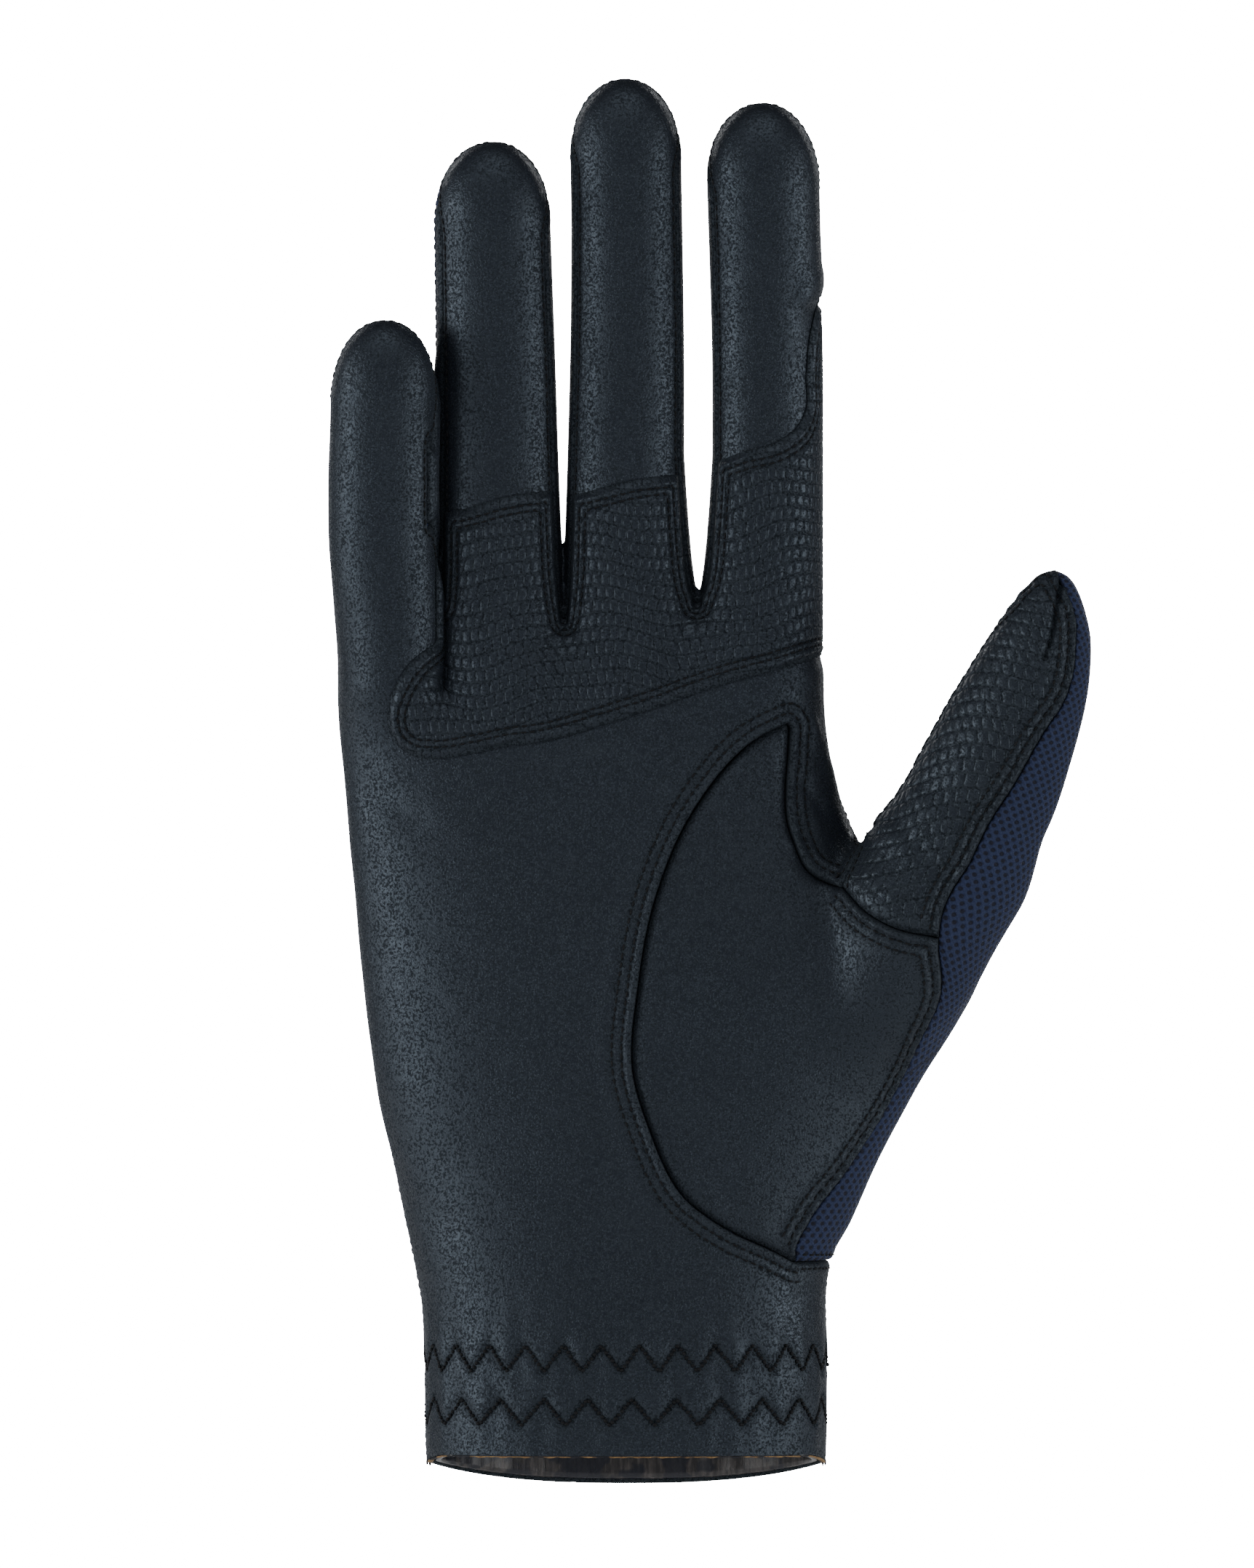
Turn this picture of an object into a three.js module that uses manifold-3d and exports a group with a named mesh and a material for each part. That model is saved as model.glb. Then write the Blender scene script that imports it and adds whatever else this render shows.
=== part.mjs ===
// A right-hand riding glove, shaped as it is when worn, with nothing inside it.
// The palm looks along -Y, the fingers point along +Z and the thumb lies on the +X side.
// The origin is the middle of the wrist opening, on the level of the lowest point of the hem.
// Sizes are in millimetres.
import * as THREE from "three";
import { mergeVertices } from "three/addons/utils/BufferGeometryUtils.js";
import Module from "manifold-3d";

const wasm = await Module();
wasm.setup();

// Leather and fabric
const wall = 1.2; // leather or mesh fabric
const seamGap = 0.32; // clear space between two panels at their seam
const gripThickness = 0.8; // the embossed patch
const gripClearance = 0.3; // patch to the palm leather under it
const facingThickness = 0.8; // the band inside the cuff
const facingClearance = 0.35;
const facingHeight = 11;
const facingInset = 0.5; // how far its edge stays inside the hem

// Cuff and palm
const cuffWidth = 67.2;
const cuffDepth = 39;
const cuffHeight = 37.4; // lowest hem to the seam under the mesh back
const hemRise = 4.7; // how much higher the palm's hem is than the lowest point of the back's
const knuckleHeight = 134; // lowest hem to the web beside the little finger
const knuckleDepth = 23.4;
const heelDepth = 35; // palm's depth at the ball of the thumb
const ballReach = 23; // how far the ball of the thumb stands out past the index finger's side

// Fingers, from the little finger's side to the index finger's. Their lengths are measured from the knuckles.
const middleX = 0.4; // middle finger's axis from the cuff's middle
const fingerSizes = {
  little: { width: 17.8, depth: 16.2, length: 61.5, tipLean: 0.6, forward: 4.6, rootLean: 1.6 },
  ring: { width: 19.4, depth: 17.2, length: 91.6, tipLean: -0.4, forward: 0, rootLean: 0.3 },
  middle: { width: 18.7, depth: 17.4, length: 102.2, tipLean: -0.6, forward: 0, rootLean: 0 },
  index: { width: 18.9, depth: 17.4, length: 98.1, tipLean: -1.1, forward: 0.4, rootLean: 0 },
};
// rise is how far a web lies above the knuckles, open the height over which its gap grows to its full width,
// and bend how soon it opens.
const webSizes = {
  littleRing: { gap: 0.5, rise: 0.5, open: 40, bend: 0.7 },
  ringMiddle: { gap: 3.5, rise: 12, open: 66, bend: 0.7 },
  middleIndex: { gap: 4.7, rise: 15.2, open: 24, bend: 0.5 },
};
const fingerCurl = 6; // how far the tips bend forward
const fingertip = 14; // length of a rounded tip
const fourchetteWidth = 9; // strip along the sides between two fingers
const wrapSeamBack = 4.2; // how far behind a finger's axis the leather's outer seam lies

// Thumb, as worn
const thumbOut = 38.25; // its tip from the index finger's side
const thumbRise = 19.4; // its tip above the knuckles
const thumbForward = 16; // its tip in front of the palm's middle
const thumbWidth = 24.8; // across its joint, seen from the palm
const thumbDepth = 21;
const thumbRootWidth = 30.4; // across its root, at the crotch
const thumbRootDepth = 29;

// Mesh fineness
const palmSides = 24;
const fingerSides = 12;
const thumbSides = 14;

const black = new THREE.Color(0x1f2830);
const materials = {
  leather: new THREE.MeshStandardMaterial({ color: black, roughness: 0.55 }),
  grip: new THREE.MeshStandardMaterial({ color: 0x1b2733, roughness: 0.48 }),
  mesh: new THREE.MeshStandardMaterial({ color: 0x1a2440, roughness: 0.85 }),
  facing: new THREE.MeshStandardMaterial({ color: 0x37353a, roughness: 0.5 }),
};

const mix = THREE.MathUtils.lerp;
const clamp01 = (t) => THREE.MathUtils.clamp(t, 0, 1);
const smooth = (t) => THREE.MathUtils.smoothstep(t, 0, 1);

// Reads one column of a table of rows at a share between them.
function column(rows, key, name, at) {
  if (at <= rows[0][key]) return rows[0][name];
  for (let i = 1; i < rows.length; i++) {
    const [a, b] = [rows[i - 1], rows[i]];
    if (at <= b[key]) return mix(a[name], b[name], (at - a[key]) / (b[key] - a[key]));
  }
  return rows[rows.length - 1][name];
}

// Solids
function geometryOf(solid) {
  const mesh = solid.getMesh();
  const geometry = new THREE.BufferGeometry();
  const points = new Float32Array(mesh.numVert * 3);
  for (let i = 0; i < mesh.numVert; i++)
    for (let k = 0; k < 3; k++) points[3 * i + k] = mesh.vertProperties[mesh.numProp * i + k];
  geometry.setAttribute("position", new THREE.BufferAttribute(points, 3));
  geometry.setIndex(new THREE.BufferAttribute(mesh.triVerts, 1));
  geometry.computeVertexNormals();
  return geometry;
}

function solidOf(positions, index) {
  const geometry = new THREE.BufferGeometry();
  geometry.setAttribute("position", new THREE.BufferAttribute(new Float32Array(positions), 3));
  geometry.setIndex(index ?? null);
  const merged = mergeVertices(geometry, 1e-4);
  const solid = (triVerts) =>
    new wasm.Manifold(
      new wasm.Mesh({ numProp: 3, vertProperties: merged.attributes.position.array, triVerts }),
    );
  const made = solid(new Uint32Array(merged.index.array));
  // Faces that were listed the other way round give a solid that is inside out.
  return made.volume() > 0 ? made : solid(new Uint32Array(merged.index.array).reverse());
}

// A closed solid between two grids of points with the same rows and columns.
function plate(near, far) {
  const [rows, columns] = [near.length, near[0].length];
  const size = rows * columns;
  const index = [];
  for (let r = 0; r + 1 < rows; r++)
    for (let c = 0; c + 1 < columns; c++) {
      const [a, b] = [r * columns + c, r * columns + c + 1];
      const [d, e] = [a + columns, b + columns];
      index.push(a, b, e, a, e, d);
      index.push(size + a, size + e, size + b, size + a, size + d, size + e);
    }
  const rim = [
    ...Array.from({ length: columns }, (_, c) => c),
    ...Array.from({ length: rows - 1 }, (_, r) => (r + 2) * columns - 1),
    ...Array.from({ length: columns - 1 }, (_, c) => rows * columns - 2 - c),
    ...Array.from({ length: rows - 2 }, (_, r) => (rows - 2 - r) * columns),
  ];
  rim.forEach((a, i) => {
    const b = rim[(i + 1) % rim.length];
    index.push(a, size + b, b, a, size + a, size + b);
  });
  return solidOf([...near, ...far].flat(2), index);
}

// A closed solid through rings that all have the same number of points, with flat ends.
function loft(rings) {
  const count = rings[0].length;
  const positions = [];
  const index = [];
  for (const ring of rings) for (const point of ring) positions.push(...point);
  for (let r = 0; r + 1 < rings.length; r++)
    for (let i = 0; i < count; i++) {
      const [a, b] = [r * count + i, r * count + ((i + 1) % count)];
      const [c, d] = [a + count, b + count];
      index.push(a, b, d, a, d, c);
    }
  const cap = (ring, flip) => {
    const middle = positions.length / 3;
    const centre = [0, 1, 2].map((k) => rings[ring].reduce((sum, p) => sum + p[k], 0) / count);
    positions.push(...centre);
    for (let i = 0; i < count; i++) {
      const [a, b] = [ring * count + i, ring * count + ((i + 1) % count)];
      index.push(...(flip ? [middle, b, a] : [middle, a, b]));
    }
  };
  cap(0, true);
  cap(rings.length - 1, false);
  return solidOf(positions, index);
}

// One section: a rounded box of half sizes a along the across direction, and b along Y.
function section({ centre, across, a, b, roundness, sides }) {
  const ring = [];
  for (let i = 0; i < sides; i++) {
    const angle = (2 * Math.PI * i) / sides;
    const [c, s] = [Math.cos(angle), Math.sin(angle)];
    const u = a * Math.sign(c) * Math.abs(c) ** (2 / roundness);
    const v = b * Math.sign(s) * Math.abs(s) ** (2 / roundness);
    ring.push([centre[0] + u * across[0], centre[1] + v, centre[2] + u * across[2]]);
  }
  return ring;
}

// Fingers: their places follow from their widths and the gaps between them.
const order = ["little", "ring", "middle", "index"];
const webs = Object.values(webSizes).map((web) => ({ ...web, height: knuckleHeight + web.rise }));
const axisX = { middle: middleX };
axisX.index = axisX.middle + (fingerSizes.middle.width + fingerSizes.index.width) / 2 + webs[2].gap;
axisX.ring = axisX.middle - (fingerSizes.middle.width + fingerSizes.ring.width) / 2 - webs[1].gap;
axisX.little = axisX.ring - (fingerSizes.ring.width + fingerSizes.little.width) / 2 - webs[0].gap;
const rootHeight = knuckleHeight - 16;

const fingers = order.map((name, i) => ({
  name,
  ...fingerSizes[name],
  tipHeight: knuckleHeight + fingerSizes[name].length,
  x: axisX[name],
  leftWeb: webs[i - 1],
  rightWeb: webs[i],
}));
const [littleFinger, ringFinger, middleFinger, indexFinger] = fingers;

// How far a finger's side stands out towards its neighbour at a height: the gap closes as a U at the web.
const webOverlap = 0.35;
const rootOverlap = 3; // well below the web
const partitionDepth = 12; // how far below a web the wall between two fingers and its seams run
function flare(web, height) {
  if (!web) return 0;
  const rise = height - web.height;
  const touching = web.gap / 2 + webOverlap;
  if (rise <= 0) return touching + rootOverlap * smooth(-rise / partitionDepth);
  return touching * (1 - Math.min(1, (rise / web.open) ** web.bend));
}

// The grip patch wraps the index finger's outer side, which is that much slimmer under it.
const wrapRows = { start: 0.02, top: 0.66, ease: 0.06 }; // shares of the finger's length above the knuckles
function wrapRelief(f, height) {
  if (f.rightWeb) return 0;
  const along = (height - knuckleHeight) / f.length;
  const covered = smooth((along - wrapRows.start) / wrapRows.ease);
  const bare = smooth((along - wrapRows.top) / wrapRows.ease);
  return (gripClearance + gripThickness) * covered * (1 - bare);
}

// A finger's axis and half sizes at a height.
const rootBlend = 28; // height over which the palm's depth thins to the finger's
const blendStart = knuckleHeight - 7;
const rootTuck = { amount: 3, below: 8 }; // a root is that much slimmer, inside the palm, below the knuckles
function fingerAt(f, height) {
  const along = clamp01((height - knuckleHeight) / f.length);
  const lean = f.rootLean * (1 - smooth(along / 0.5)) + f.tipLean * smooth((along - 0.5) / 0.5);
  const left = f.width / 2 + flare(f.leftWeb, height);
  const right = f.width / 2 + flare(f.rightWeb, height) - wrapRelief(f, height);
  const thick = 1 - smooth((height - blendStart) / rootBlend);
  const tuck = height < knuckleHeight - rootTuck.below ? rootTuck.amount : 0;
  return {
    x: f.x + lean + (right - left) / 2,
    y: -fingerCurl * along ** 2 - f.forward * smooth((height - blendStart) / rootBlend),
    a: (left + right) / 2 - tuck,
    b: mix(f.depth, knuckleDepth, thick) / 2 - tuck,
  };
}

// The rounded tip: share of the section left at a share of the tip's length.
const tipRows = [
  { up: 0, keep: 1 },
  { up: 0.4, keep: 0.93 },
  { up: 0.72, keep: 0.72 },
  { up: 0.92, keep: 0.43 },
  { up: 1, keep: 0.14 },
];

// The glove's outside has grow 0. A larger grow is an outer offset, and a negative one an inner offset.
const ringStep = 3.4; // least distance between two rings
function fingerSolid(f, grow) {
  const tipStart = f.tipHeight - fingertip;
  const heights = [rootHeight, knuckleHeight - 6];
  for (const web of [f.leftWeb, f.rightWeb].filter(Boolean))
    heights.push(web.height - partitionDepth, web.height - 3, web.height, web.height + 3, web.height + 12);
  const straight = Math.max(...heights);
  for (let k = 1; k <= 3; k++) heights.push(mix(straight, tipStart, k / 3));
  const wrapEnd = [wrapRows.top, wrapRows.top + wrapRows.ease];
  if (!f.rightWeb) heights.push(...wrapEnd.map((share) => knuckleHeight + share * f.length));
  const sorted = [...new Set(heights)].sort((p, q) => p - q);
  const spaced = sorted.filter((h, i) => i === 0 || h - sorted[i - 1] > ringStep);
  const rings = spaced.map((height) => {
    const at = fingerAt(f, height);
    return section({
      centre: [at.x, at.y, height],
      across: [1, 0, 0],
      a: at.a + grow,
      b: at.b + grow,
      roundness: 2.35,
      sides: fingerSides,
    });
  });
  for (const row of tipRows.slice(1)) {
    const at = fingerAt(f, tipStart + row.up * fingertip);
    rings.push(
      section({
        centre: [at.x, at.y, tipStart + row.up * (fingertip + grow)],
        across: [1, 0, 0],
        a: (at.a + grow) * row.keep,
        b: (at.b + grow) * row.keep,
        roundness: 2.2,
        sides: fingerSides,
      }),
    );
  }
  return loft(rings);
}

// The palm, from the hem up. spread goes from the cuff's width (0) to the knuckles' (1), and ball is a share
// of ballReach. heel goes from the cuff's depth (0) to the heel's (1), and thin from there to the knuckles'.
const palmRows = [
  { up: 0.0, spread: 0.0, ball: 0.0, heel: 0.0, thin: 0.0 },
  { up: 0.145, spread: 0.01, ball: 0.0, heel: 0.1, thin: 0.0 },
  { up: 0.22, spread: 0.05, ball: 0.0, heel: 0.4, thin: 0.0 },
  { up: 0.27, spread: 0.13, ball: 0.02, heel: 0.7, thin: 0.0 },
  { up: 0.33, spread: 0.25, ball: 0.19, heel: 0.9, thin: 0.0 },
  { up: 0.403, spread: 0.38, ball: 0.38, heel: 1.0, thin: 0.0 },
  { up: 0.49, spread: 0.56, ball: 0.65, heel: 1.0, thin: 0.0 },
  { up: 0.57, spread: 0.66, ball: 0.91, heel: 1.0, thin: 0.04 },
  { up: 0.64, spread: 0.73, ball: 1.07, heel: 1.0, thin: 0.14 },
  { up: 0.7, spread: 0.78, ball: 0.84, heel: 1.0, thin: 0.26 },
  { up: 0.755, spread: 0.83, ball: 0.5, heel: 1.0, thin: 0.4 },
  { up: 0.81, spread: 0.88, ball: 0.23, heel: 1.0, thin: 0.54 },
  { up: 0.87, spread: 0.92, ball: 0.1, heel: 1.0, thin: 0.7 },
  { up: 0.935, spread: 0.96, ball: 0.03, heel: 1.0, thin: 0.87 },
  { up: 1.0, spread: 1.0, ball: 0.0, heel: 1.0, thin: 1.0 },
];
const knuckleLeft = littleFinger.x + littleFinger.rootLean - littleFinger.width / 2;
const knuckleRight = indexFinger.x + indexFinger.width / 2;

function palmAt(height) {
  const get = (name) => column(palmRows, "up", name, height / knuckleHeight);
  const left = mix(-cuffWidth / 2, knuckleLeft, get("spread"));
  const right = mix(cuffWidth / 2, knuckleRight, get("spread")) + get("ball") * ballReach;
  const heel = mix(cuffDepth, heelDepth, get("heel"));
  return {
    left,
    right,
    x: (left + right) / 2,
    a: (right - left) / 2,
    b: mix(heel, knuckleDepth, get("thin")) / 2,
  };
}

// The hem's height round the cuff: nearly level in front, and dipping towards the middle of the back.
const hemSideShare = 0.74;
function hemHeight(y) {
  const back = clamp01(y / (cuffDepth / 2));
  const front = clamp01(-y / (cuffDepth / 2));
  return hemRise * (hemSideShare * (1 - back * back) + (1 - hemSideShare) * Math.min(1, 2 * front));
}

function palmRing(height, grow, rise = 0) {
  const at = palmAt(height);
  return section({
    centre: [at.x, 0, height + rise],
    across: [1, 0, 0],
    a: at.a + grow,
    b: at.b + grow,
    roundness: 2.5,
    sides: palmSides,
  });
}
const hemRing = (grow, rise) => palmRing(0, grow).map(([x, y]) => [x, y, hemHeight(y) + rise]);

function palmSolid(grow, hemDrop = 0) {
  const rings = palmRows.slice(1).map(({ up }) => palmRing(up * knuckleHeight, grow));
  // The top rounds over inside the roots of the fingers.
  const topRow = (rise, tuck) => palmRing(knuckleHeight, grow - tuck, rise + grow);
  return loft([hemRing(grow, -hemDrop), ...rings, topRow(1, 2.5), topRow(1.6, 5)]);
}

const thumbTip = { x: knuckleRight + thumbOut, height: knuckleHeight + thumbRise };

// The thumb from inside its ball to its tip. x and up are shares of the tip's place. wide and deep are shares
// of the joint's size, or of the root's where root is 1. turn is how far the thumb leans out, in degrees.
const thumbRows = [
  { along: 0.0, x: 0.46, up: 0.456, turn: 28, wide: 0.37, deep: 0.36, root: 1, forward: 0.2 },
  { along: 0.15, x: 0.602, up: 0.548, turn: 28, wide: 0.45, deep: 0.47, root: 1, forward: 0.28 },
  { along: 0.27, x: 0.663, up: 0.616, turn: 27, wide: 0.497, deep: 0.495, root: 1, forward: 0.38 },
  { along: 0.36, x: 0.739, up: 0.668, turn: 25, wide: 0.475, deep: 0.43, root: 1, forward: 0.48 },
  { along: 0.5, x: 0.826, up: 0.746, turn: 22, wide: 0.5, deep: 0.5, root: 0, forward: 0.6 },
  { along: 0.65, x: 0.901, up: 0.826, turn: 21, wide: 0.455, deep: 0.455, root: 0, forward: 0.74 },
  { along: 0.8, x: 0.969, up: 0.905, turn: 20, wide: 0.362, deep: 0.385, root: 0, forward: 0.87 },
  { along: 0.9, x: 0.998, up: 0.955, turn: 17, wide: 0.257, deep: 0.29, root: 0, forward: 0.95 },
  { along: 0.96, x: 1.003, up: 0.984, turn: 10, wide: 0.152, deep: 0.17, root: 0, forward: 0.99 },
  { along: 1.0, x: 1.005, up: 1.0, turn: 6, wide: 0.06, deep: 0.06, root: 0, forward: 1.0 },
];

function thumbAt(along) {
  const get = (name) => column(thumbRows, "along", name, along);
  return {
    x: get("x") * thumbTip.x,
    y: -get("forward") * thumbForward,
    z: get("up") * thumbTip.height,
    turn: THREE.MathUtils.degToRad(get("turn")),
    a: get("wide") * mix(thumbWidth, thumbRootWidth, get("root")),
    b: get("deep") * mix(thumbDepth, thumbRootDepth, get("root")),
  };
}

const leastTip = 0.4; // smallest half size that an inner offset leaves at the tip
function thumbSolid(grow) {
  const rings = thumbRows.map(({ along }) => {
    const at = thumbAt(along);
    const lift = along === 1 ? grow : 0;
    return section({
      centre: [at.x + lift * Math.sin(at.turn), at.y, at.z + lift * Math.cos(at.turn)],
      across: [Math.cos(at.turn), 0, -Math.sin(at.turn)],
      a: Math.max(leastTip, at.a + grow),
      b: Math.max(leastTip, at.b + grow),
      roundness: 2.15,
      sides: thumbSides,
    });
  });
  return loft(rings);
}

function handForm(grow, hemDrop = 0) {
  let form = palmSolid(grow, hemDrop).add(thumbSolid(grow));
  for (const f of fingers) form = form.add(fingerSolid(f, grow));
  return form;
}

// Seams: each is a thin solid cut out of the shell, so that the panels on its two sides come apart.
const front = -60; // clear of the glove on the palm's side
const behind = 60;
const beyond = 2; // how far a seam's solid runs past what it cuts
const pastHem = 20; // how far the hollow's solid runs out of the wrist opening

// A thin sheet across the glove at the depths of its columns.
function sheet(heights, columnsAt) {
  const grid = heights.map((height) => columnsAt(height).map(([x, y]) => [x, y, height]));
  const moved = (by) => grid.map((row) => row.map(([x, y, z]) => [x, y + by, z]));
  return plate(moved(-seamGap / 2), moved(seamGap / 2));
}

// A thin wall along a line drawn on the palm's view, from in front of the glove back to a depth.
function seamWall(points, rearAt) {
  const rows = points.map(([x, z], i) => {
    const [px, pz] = points[Math.max(0, i - 1)];
    const [nx, nz] = points[Math.min(points.length - 1, i + 1)];
    const length = Math.hypot(nx - px, nz - pz);
    const side = [((nz - pz) / length) * (seamGap / 2), (-(nx - px) / length) * (seamGap / 2)];
    return { x, z, side, rear: rearAt(x, z) };
  });
  const face = (sign) =>
    rows.map(({ x, z, side, rear }) =>
      [front, rear].map((y) => [x + sign * side[0], y, z + sign * side[1]]),
    );
  return plate(face(-1), face(1));
}

const slab = (x0, x1, y0, y1, z0, z1) =>
  loft([z0, z1].map((z) => [[x0, y0, z], [x1, y0, z], [x1, y1, z], [x0, y1, z]]));
const levelCut = (x0, x1, y0, y1, z) => slab(x0, x1, y0, y1, z - seamGap / 2, z + seamGap / 2);

// A smooth line through a few points of the palm's view.
function smoothLine(points, step = 7) {
  const curve = new THREE.CatmullRomCurve3(
    points.map(([x, z]) => new THREE.Vector3(x, 0, z)),
    false,
    "centripetal",
  );
  const count = Math.max(points.length, Math.round(curve.getLength() / step));
  return curve.getSpacedPoints(count).map((p) => [p.x, p.z]);
}
const extended = ([[x0, z0], [x1, z1], ...rest], length) => {
  const size = Math.hypot(x0 - x1, z0 - z1);
  const first = [x0 + ((x0 - x1) / size) * length, z0 + ((z0 - z1) / size) * length];
  return [first, [x0, z0], [x1, z1], ...rest];
};

// The seams of a finger run along it and meet at its tip.
// seamTaper is 1 below the tip and 0 where they have met.
const [taperStart, taperEnd] = [1.15, 0.45]; // shares of a fingertip's length below its top
const seamTaper = (f, height) =>
  1 - smooth((height - f.tipHeight + taperStart * fingertip) / ((taperStart - taperEnd) * fingertip));
const tipSteps = (f) => {
  const middle = (taperStart + taperEnd) / 2;
  return [taperStart, middle, taperEnd, -beyond / fingertip].map((k) => f.tipHeight - k * fingertip);
};
const axisOf = (f, height) => {
  const at = fingerAt(f, height);
  return { x: height > knuckleHeight ? at.x : f.x, y: at.y };
};
// Heights in rising order, none closer than the least step, with one halfway where two are far apart.
const leastStep = 1.5;
const longStep = knuckleHeight / 4;
function inSteps(heights, farApart = longStep) {
  const rising = heights.sort((p, q) => p - q);
  const spaced = rising.filter((h, i) => i === 0 || h - rising[i - 1] > leastStep);
  return spaced.flatMap((h, i) => {
    const halfway = (h + spaced[i - 1]) / 2;
    return i > 0 && h - spaced[i - 1] > farApart ? [halfway, h] : [h];
  });
}

// The seams of the strip between neighbouring fingers. side is -1 for its palm seam and 1 for its back seam.
const pastAxis = 0.2; // how far a seam runs past the axis of its finger
function fourchetteSeam(left, right, side) {
  const web = left.rightWeb;
  const middle = left.x + (left.width + web.gap) / 2;
  const heights = [web.height - partitionDepth, web.height, web.height + 8];
  return sheet(inSteps([...heights, ...tipSteps(left), ...tipSteps(right)]), (height) => {
    const [l, r] = [axisOf(left, height), axisOf(right, height)];
    const offset = (side * fourchetteWidth) / 2;
    const yl = l.y + offset * seamTaper(left, height);
    const yr = r.y + offset * seamTaper(right, height);
    return [
      [l.x - pastAxis, yl],
      [middle - web.gap / 2, yl],
      [middle + web.gap / 2, yr],
      [r.x + pastAxis, yr],
    ];
  });
}

// Little finger's outer side, down to the hem.
function outerSeam() {
  const f = littleFinger;
  return sheet(inSteps([-beyond, rootHeight, knuckleHeight, ...tipSteps(f)], 2 * longStep), (height) => {
    const at = height < knuckleHeight ? { x: f.x, y: 0 } : axisOf(f, height);
    const y = at.y + wrapSeamBack * seamTaper(f, height);
    const inner = height >= knuckleHeight ? at.x + pastAxis : -cuffWidth / 4;
    return [[f.x - f.width, y], [inner, y]];
  });
}

// Places on the thumb: u across it, from -1 on the index finger's side to 1, at a share along it.
function onThumb({ u, along }) {
  const at = thumbAt(along);
  return [at.x + u * at.a * Math.cos(at.turn), at.z - u * at.a * Math.sin(at.turn)];
}
function thumbAxisAt(height) {
  const get = (name) => column(thumbRows, "up", name, height / thumbTip.height);
  return { x: get("x") * thumbTip.x, y: -get("forward") * thumbForward };
}

// Places on the palm: u from the little finger's side to the index finger's, v from the cuff's top to the
// knuckles, and ball is 1 where the point moves out with the ball of the thumb.
function onPalm({ u, v, ball = 0 }) {
  const height = mix(cuffHeight, knuckleHeight, v);
  const at = palmAt(height);
  const bulge = column(palmRows, "up", "ball", height / knuckleHeight) * ballReach;
  return [mix(at.left, at.right - bulge, u) + ball * bulge, height];
}

// The seam along the thumb, where the leather in front meets the mesh behind it, from the tip down.
const thumbSeamRows = [
  { u: 0.15, along: 1.0 },
  { u: 0.42, along: 0.962 },
  { u: 0.66, along: 0.9 },
  { u: 0.66, along: 0.847 },
  { u: 0.68, along: 0.79 },
  { u: 0.64, along: 0.74 },
  { u: 0.47, along: 0.665 },
  { u: 0.34, along: 0.56 },
  { u: 0.24, along: 0.473 },
  { u: 0.22, along: 0.4 },
  { u: 0.26, along: 0.307 },
  { u: 0.4, along: 0.26 },
  { u: 0.66, along: 0.19 },
];
const thumbSeamFoot = [
  { u: 0.949, v: 0.372, ball: 1 },
  { u: 0.956, v: 0.261, ball: 1 },
  { u: 0.938, v: 0.161, ball: 1 },
  { u: 0.9, v: 0.068, ball: 1 },
  { u: 0.905, v: 0.02, ball: 1 },
  { u: 0.93, v: -0.004, ball: 0 },
];
const pastThumbTip = 5; // how far the seam's solid starts above the tip
const thumbSeam = extended(
  smoothLine([...thumbSeamRows.map(onThumb), ...thumbSeamFoot.map(onPalm)]),
  pastThumbTip,
);
function thumbSeamX(height) {
  const i = Math.max(1, thumbSeam.findIndex(([, z]) => z <= height));
  const [[xa, za], [xb, zb]] = [thumbSeam[i - 1], thumbSeam[i]];
  return mix(xa, xb, clamp01((height - za) / (zb - za)));
}

// The seam on the index finger's outer side, round the crotch and up the thumb's inner side to its tip.
const thumbSeamBack = 3.4; // how far behind the thumb's axis it lies
const crotch = onThumb({ u: -1, along: 0.36 });
const crotchRun = 8; // how far below the crotch the seam starts
const meetHeight = thumbTip.height - 5; // above it the side seam reaches the front one
const meetRun = 6; // height over which it comes forward to it
const radialHeights = inSteps([
  crotch[1] - crotchRun,
  ...thumbRows.map(({ up }) => up * thumbTip.height).filter((height) => height > crotch[1] - 1),
  thumbTip.height + beyond,
  thumbTip.height + 2 * beyond,
  ...tipSteps(indexFinger),
]);
function radialColumns(height) {
  const i = axisOf(indexFinger, height);
  const yi = i.y + wrapSeamBack * seamTaper(indexFinger, height);
  const inner = i.x - pastAxis;
  const edge = knuckleRight + beyond;
  if (height > thumbTip.height + beyond) return [[inner, yi], [edge, yi], [edge + 0.5, yi], [edge + 1, yi]];
  const t = thumbAxisAt(height);
  const yt = t.y + thumbSeamBack * (1 - smooth((height - meetHeight + meetRun) / meetRun));
  const far = height > meetHeight ? thumbSeamX(height) + 2 * seamGap : t.x;
  return [[inner, yi], [edge, yi], [Math.min(crotch[0] + beyond, far - 1), yt], [far, yt]];
}
function radialY(x, height) {
  const columns = radialColumns(height);
  const i = Math.max(1, columns.findIndex(([at]) => x <= at));
  const [[xa, ya], [xb, yb]] = [columns[i - 1], columns[i]];
  return mix(ya, yb, clamp01((x - xa) / (xb - xa)));
}

// The seam round the ball of the thumb, from the cuff up to its point beside the index finger, and down to
// the crotch.
const ballSeamRows = [
  { u: 0.93, v: -0.004 },
  { u: 0.869, v: 0.02 },
  { u: 0.766, v: 0.056 },
  { u: 0.669, v: 0.111 },
  { u: 0.598, v: 0.237 },
  { u: 0.574, v: 0.327 },
  { u: 0.595, v: 0.48 },
  { u: 0.642, v: 0.64 },
  { u: 0.731, v: 0.793 },
  { u: 0.856, v: 0.908 },
  { u: 0.931, v: 0.941 },
];
const ballSeamReturn = [
  { u: 0.931, v: 0.941 },
  { u: 0.927, v: 0.883 },
  { u: 0.921, v: 0.828 },
  { u: 0.922, v: 0.772 },
  { u: 0.938, v: 0.724 },
  { u: 0.964, v: 0.682 },
];
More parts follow.
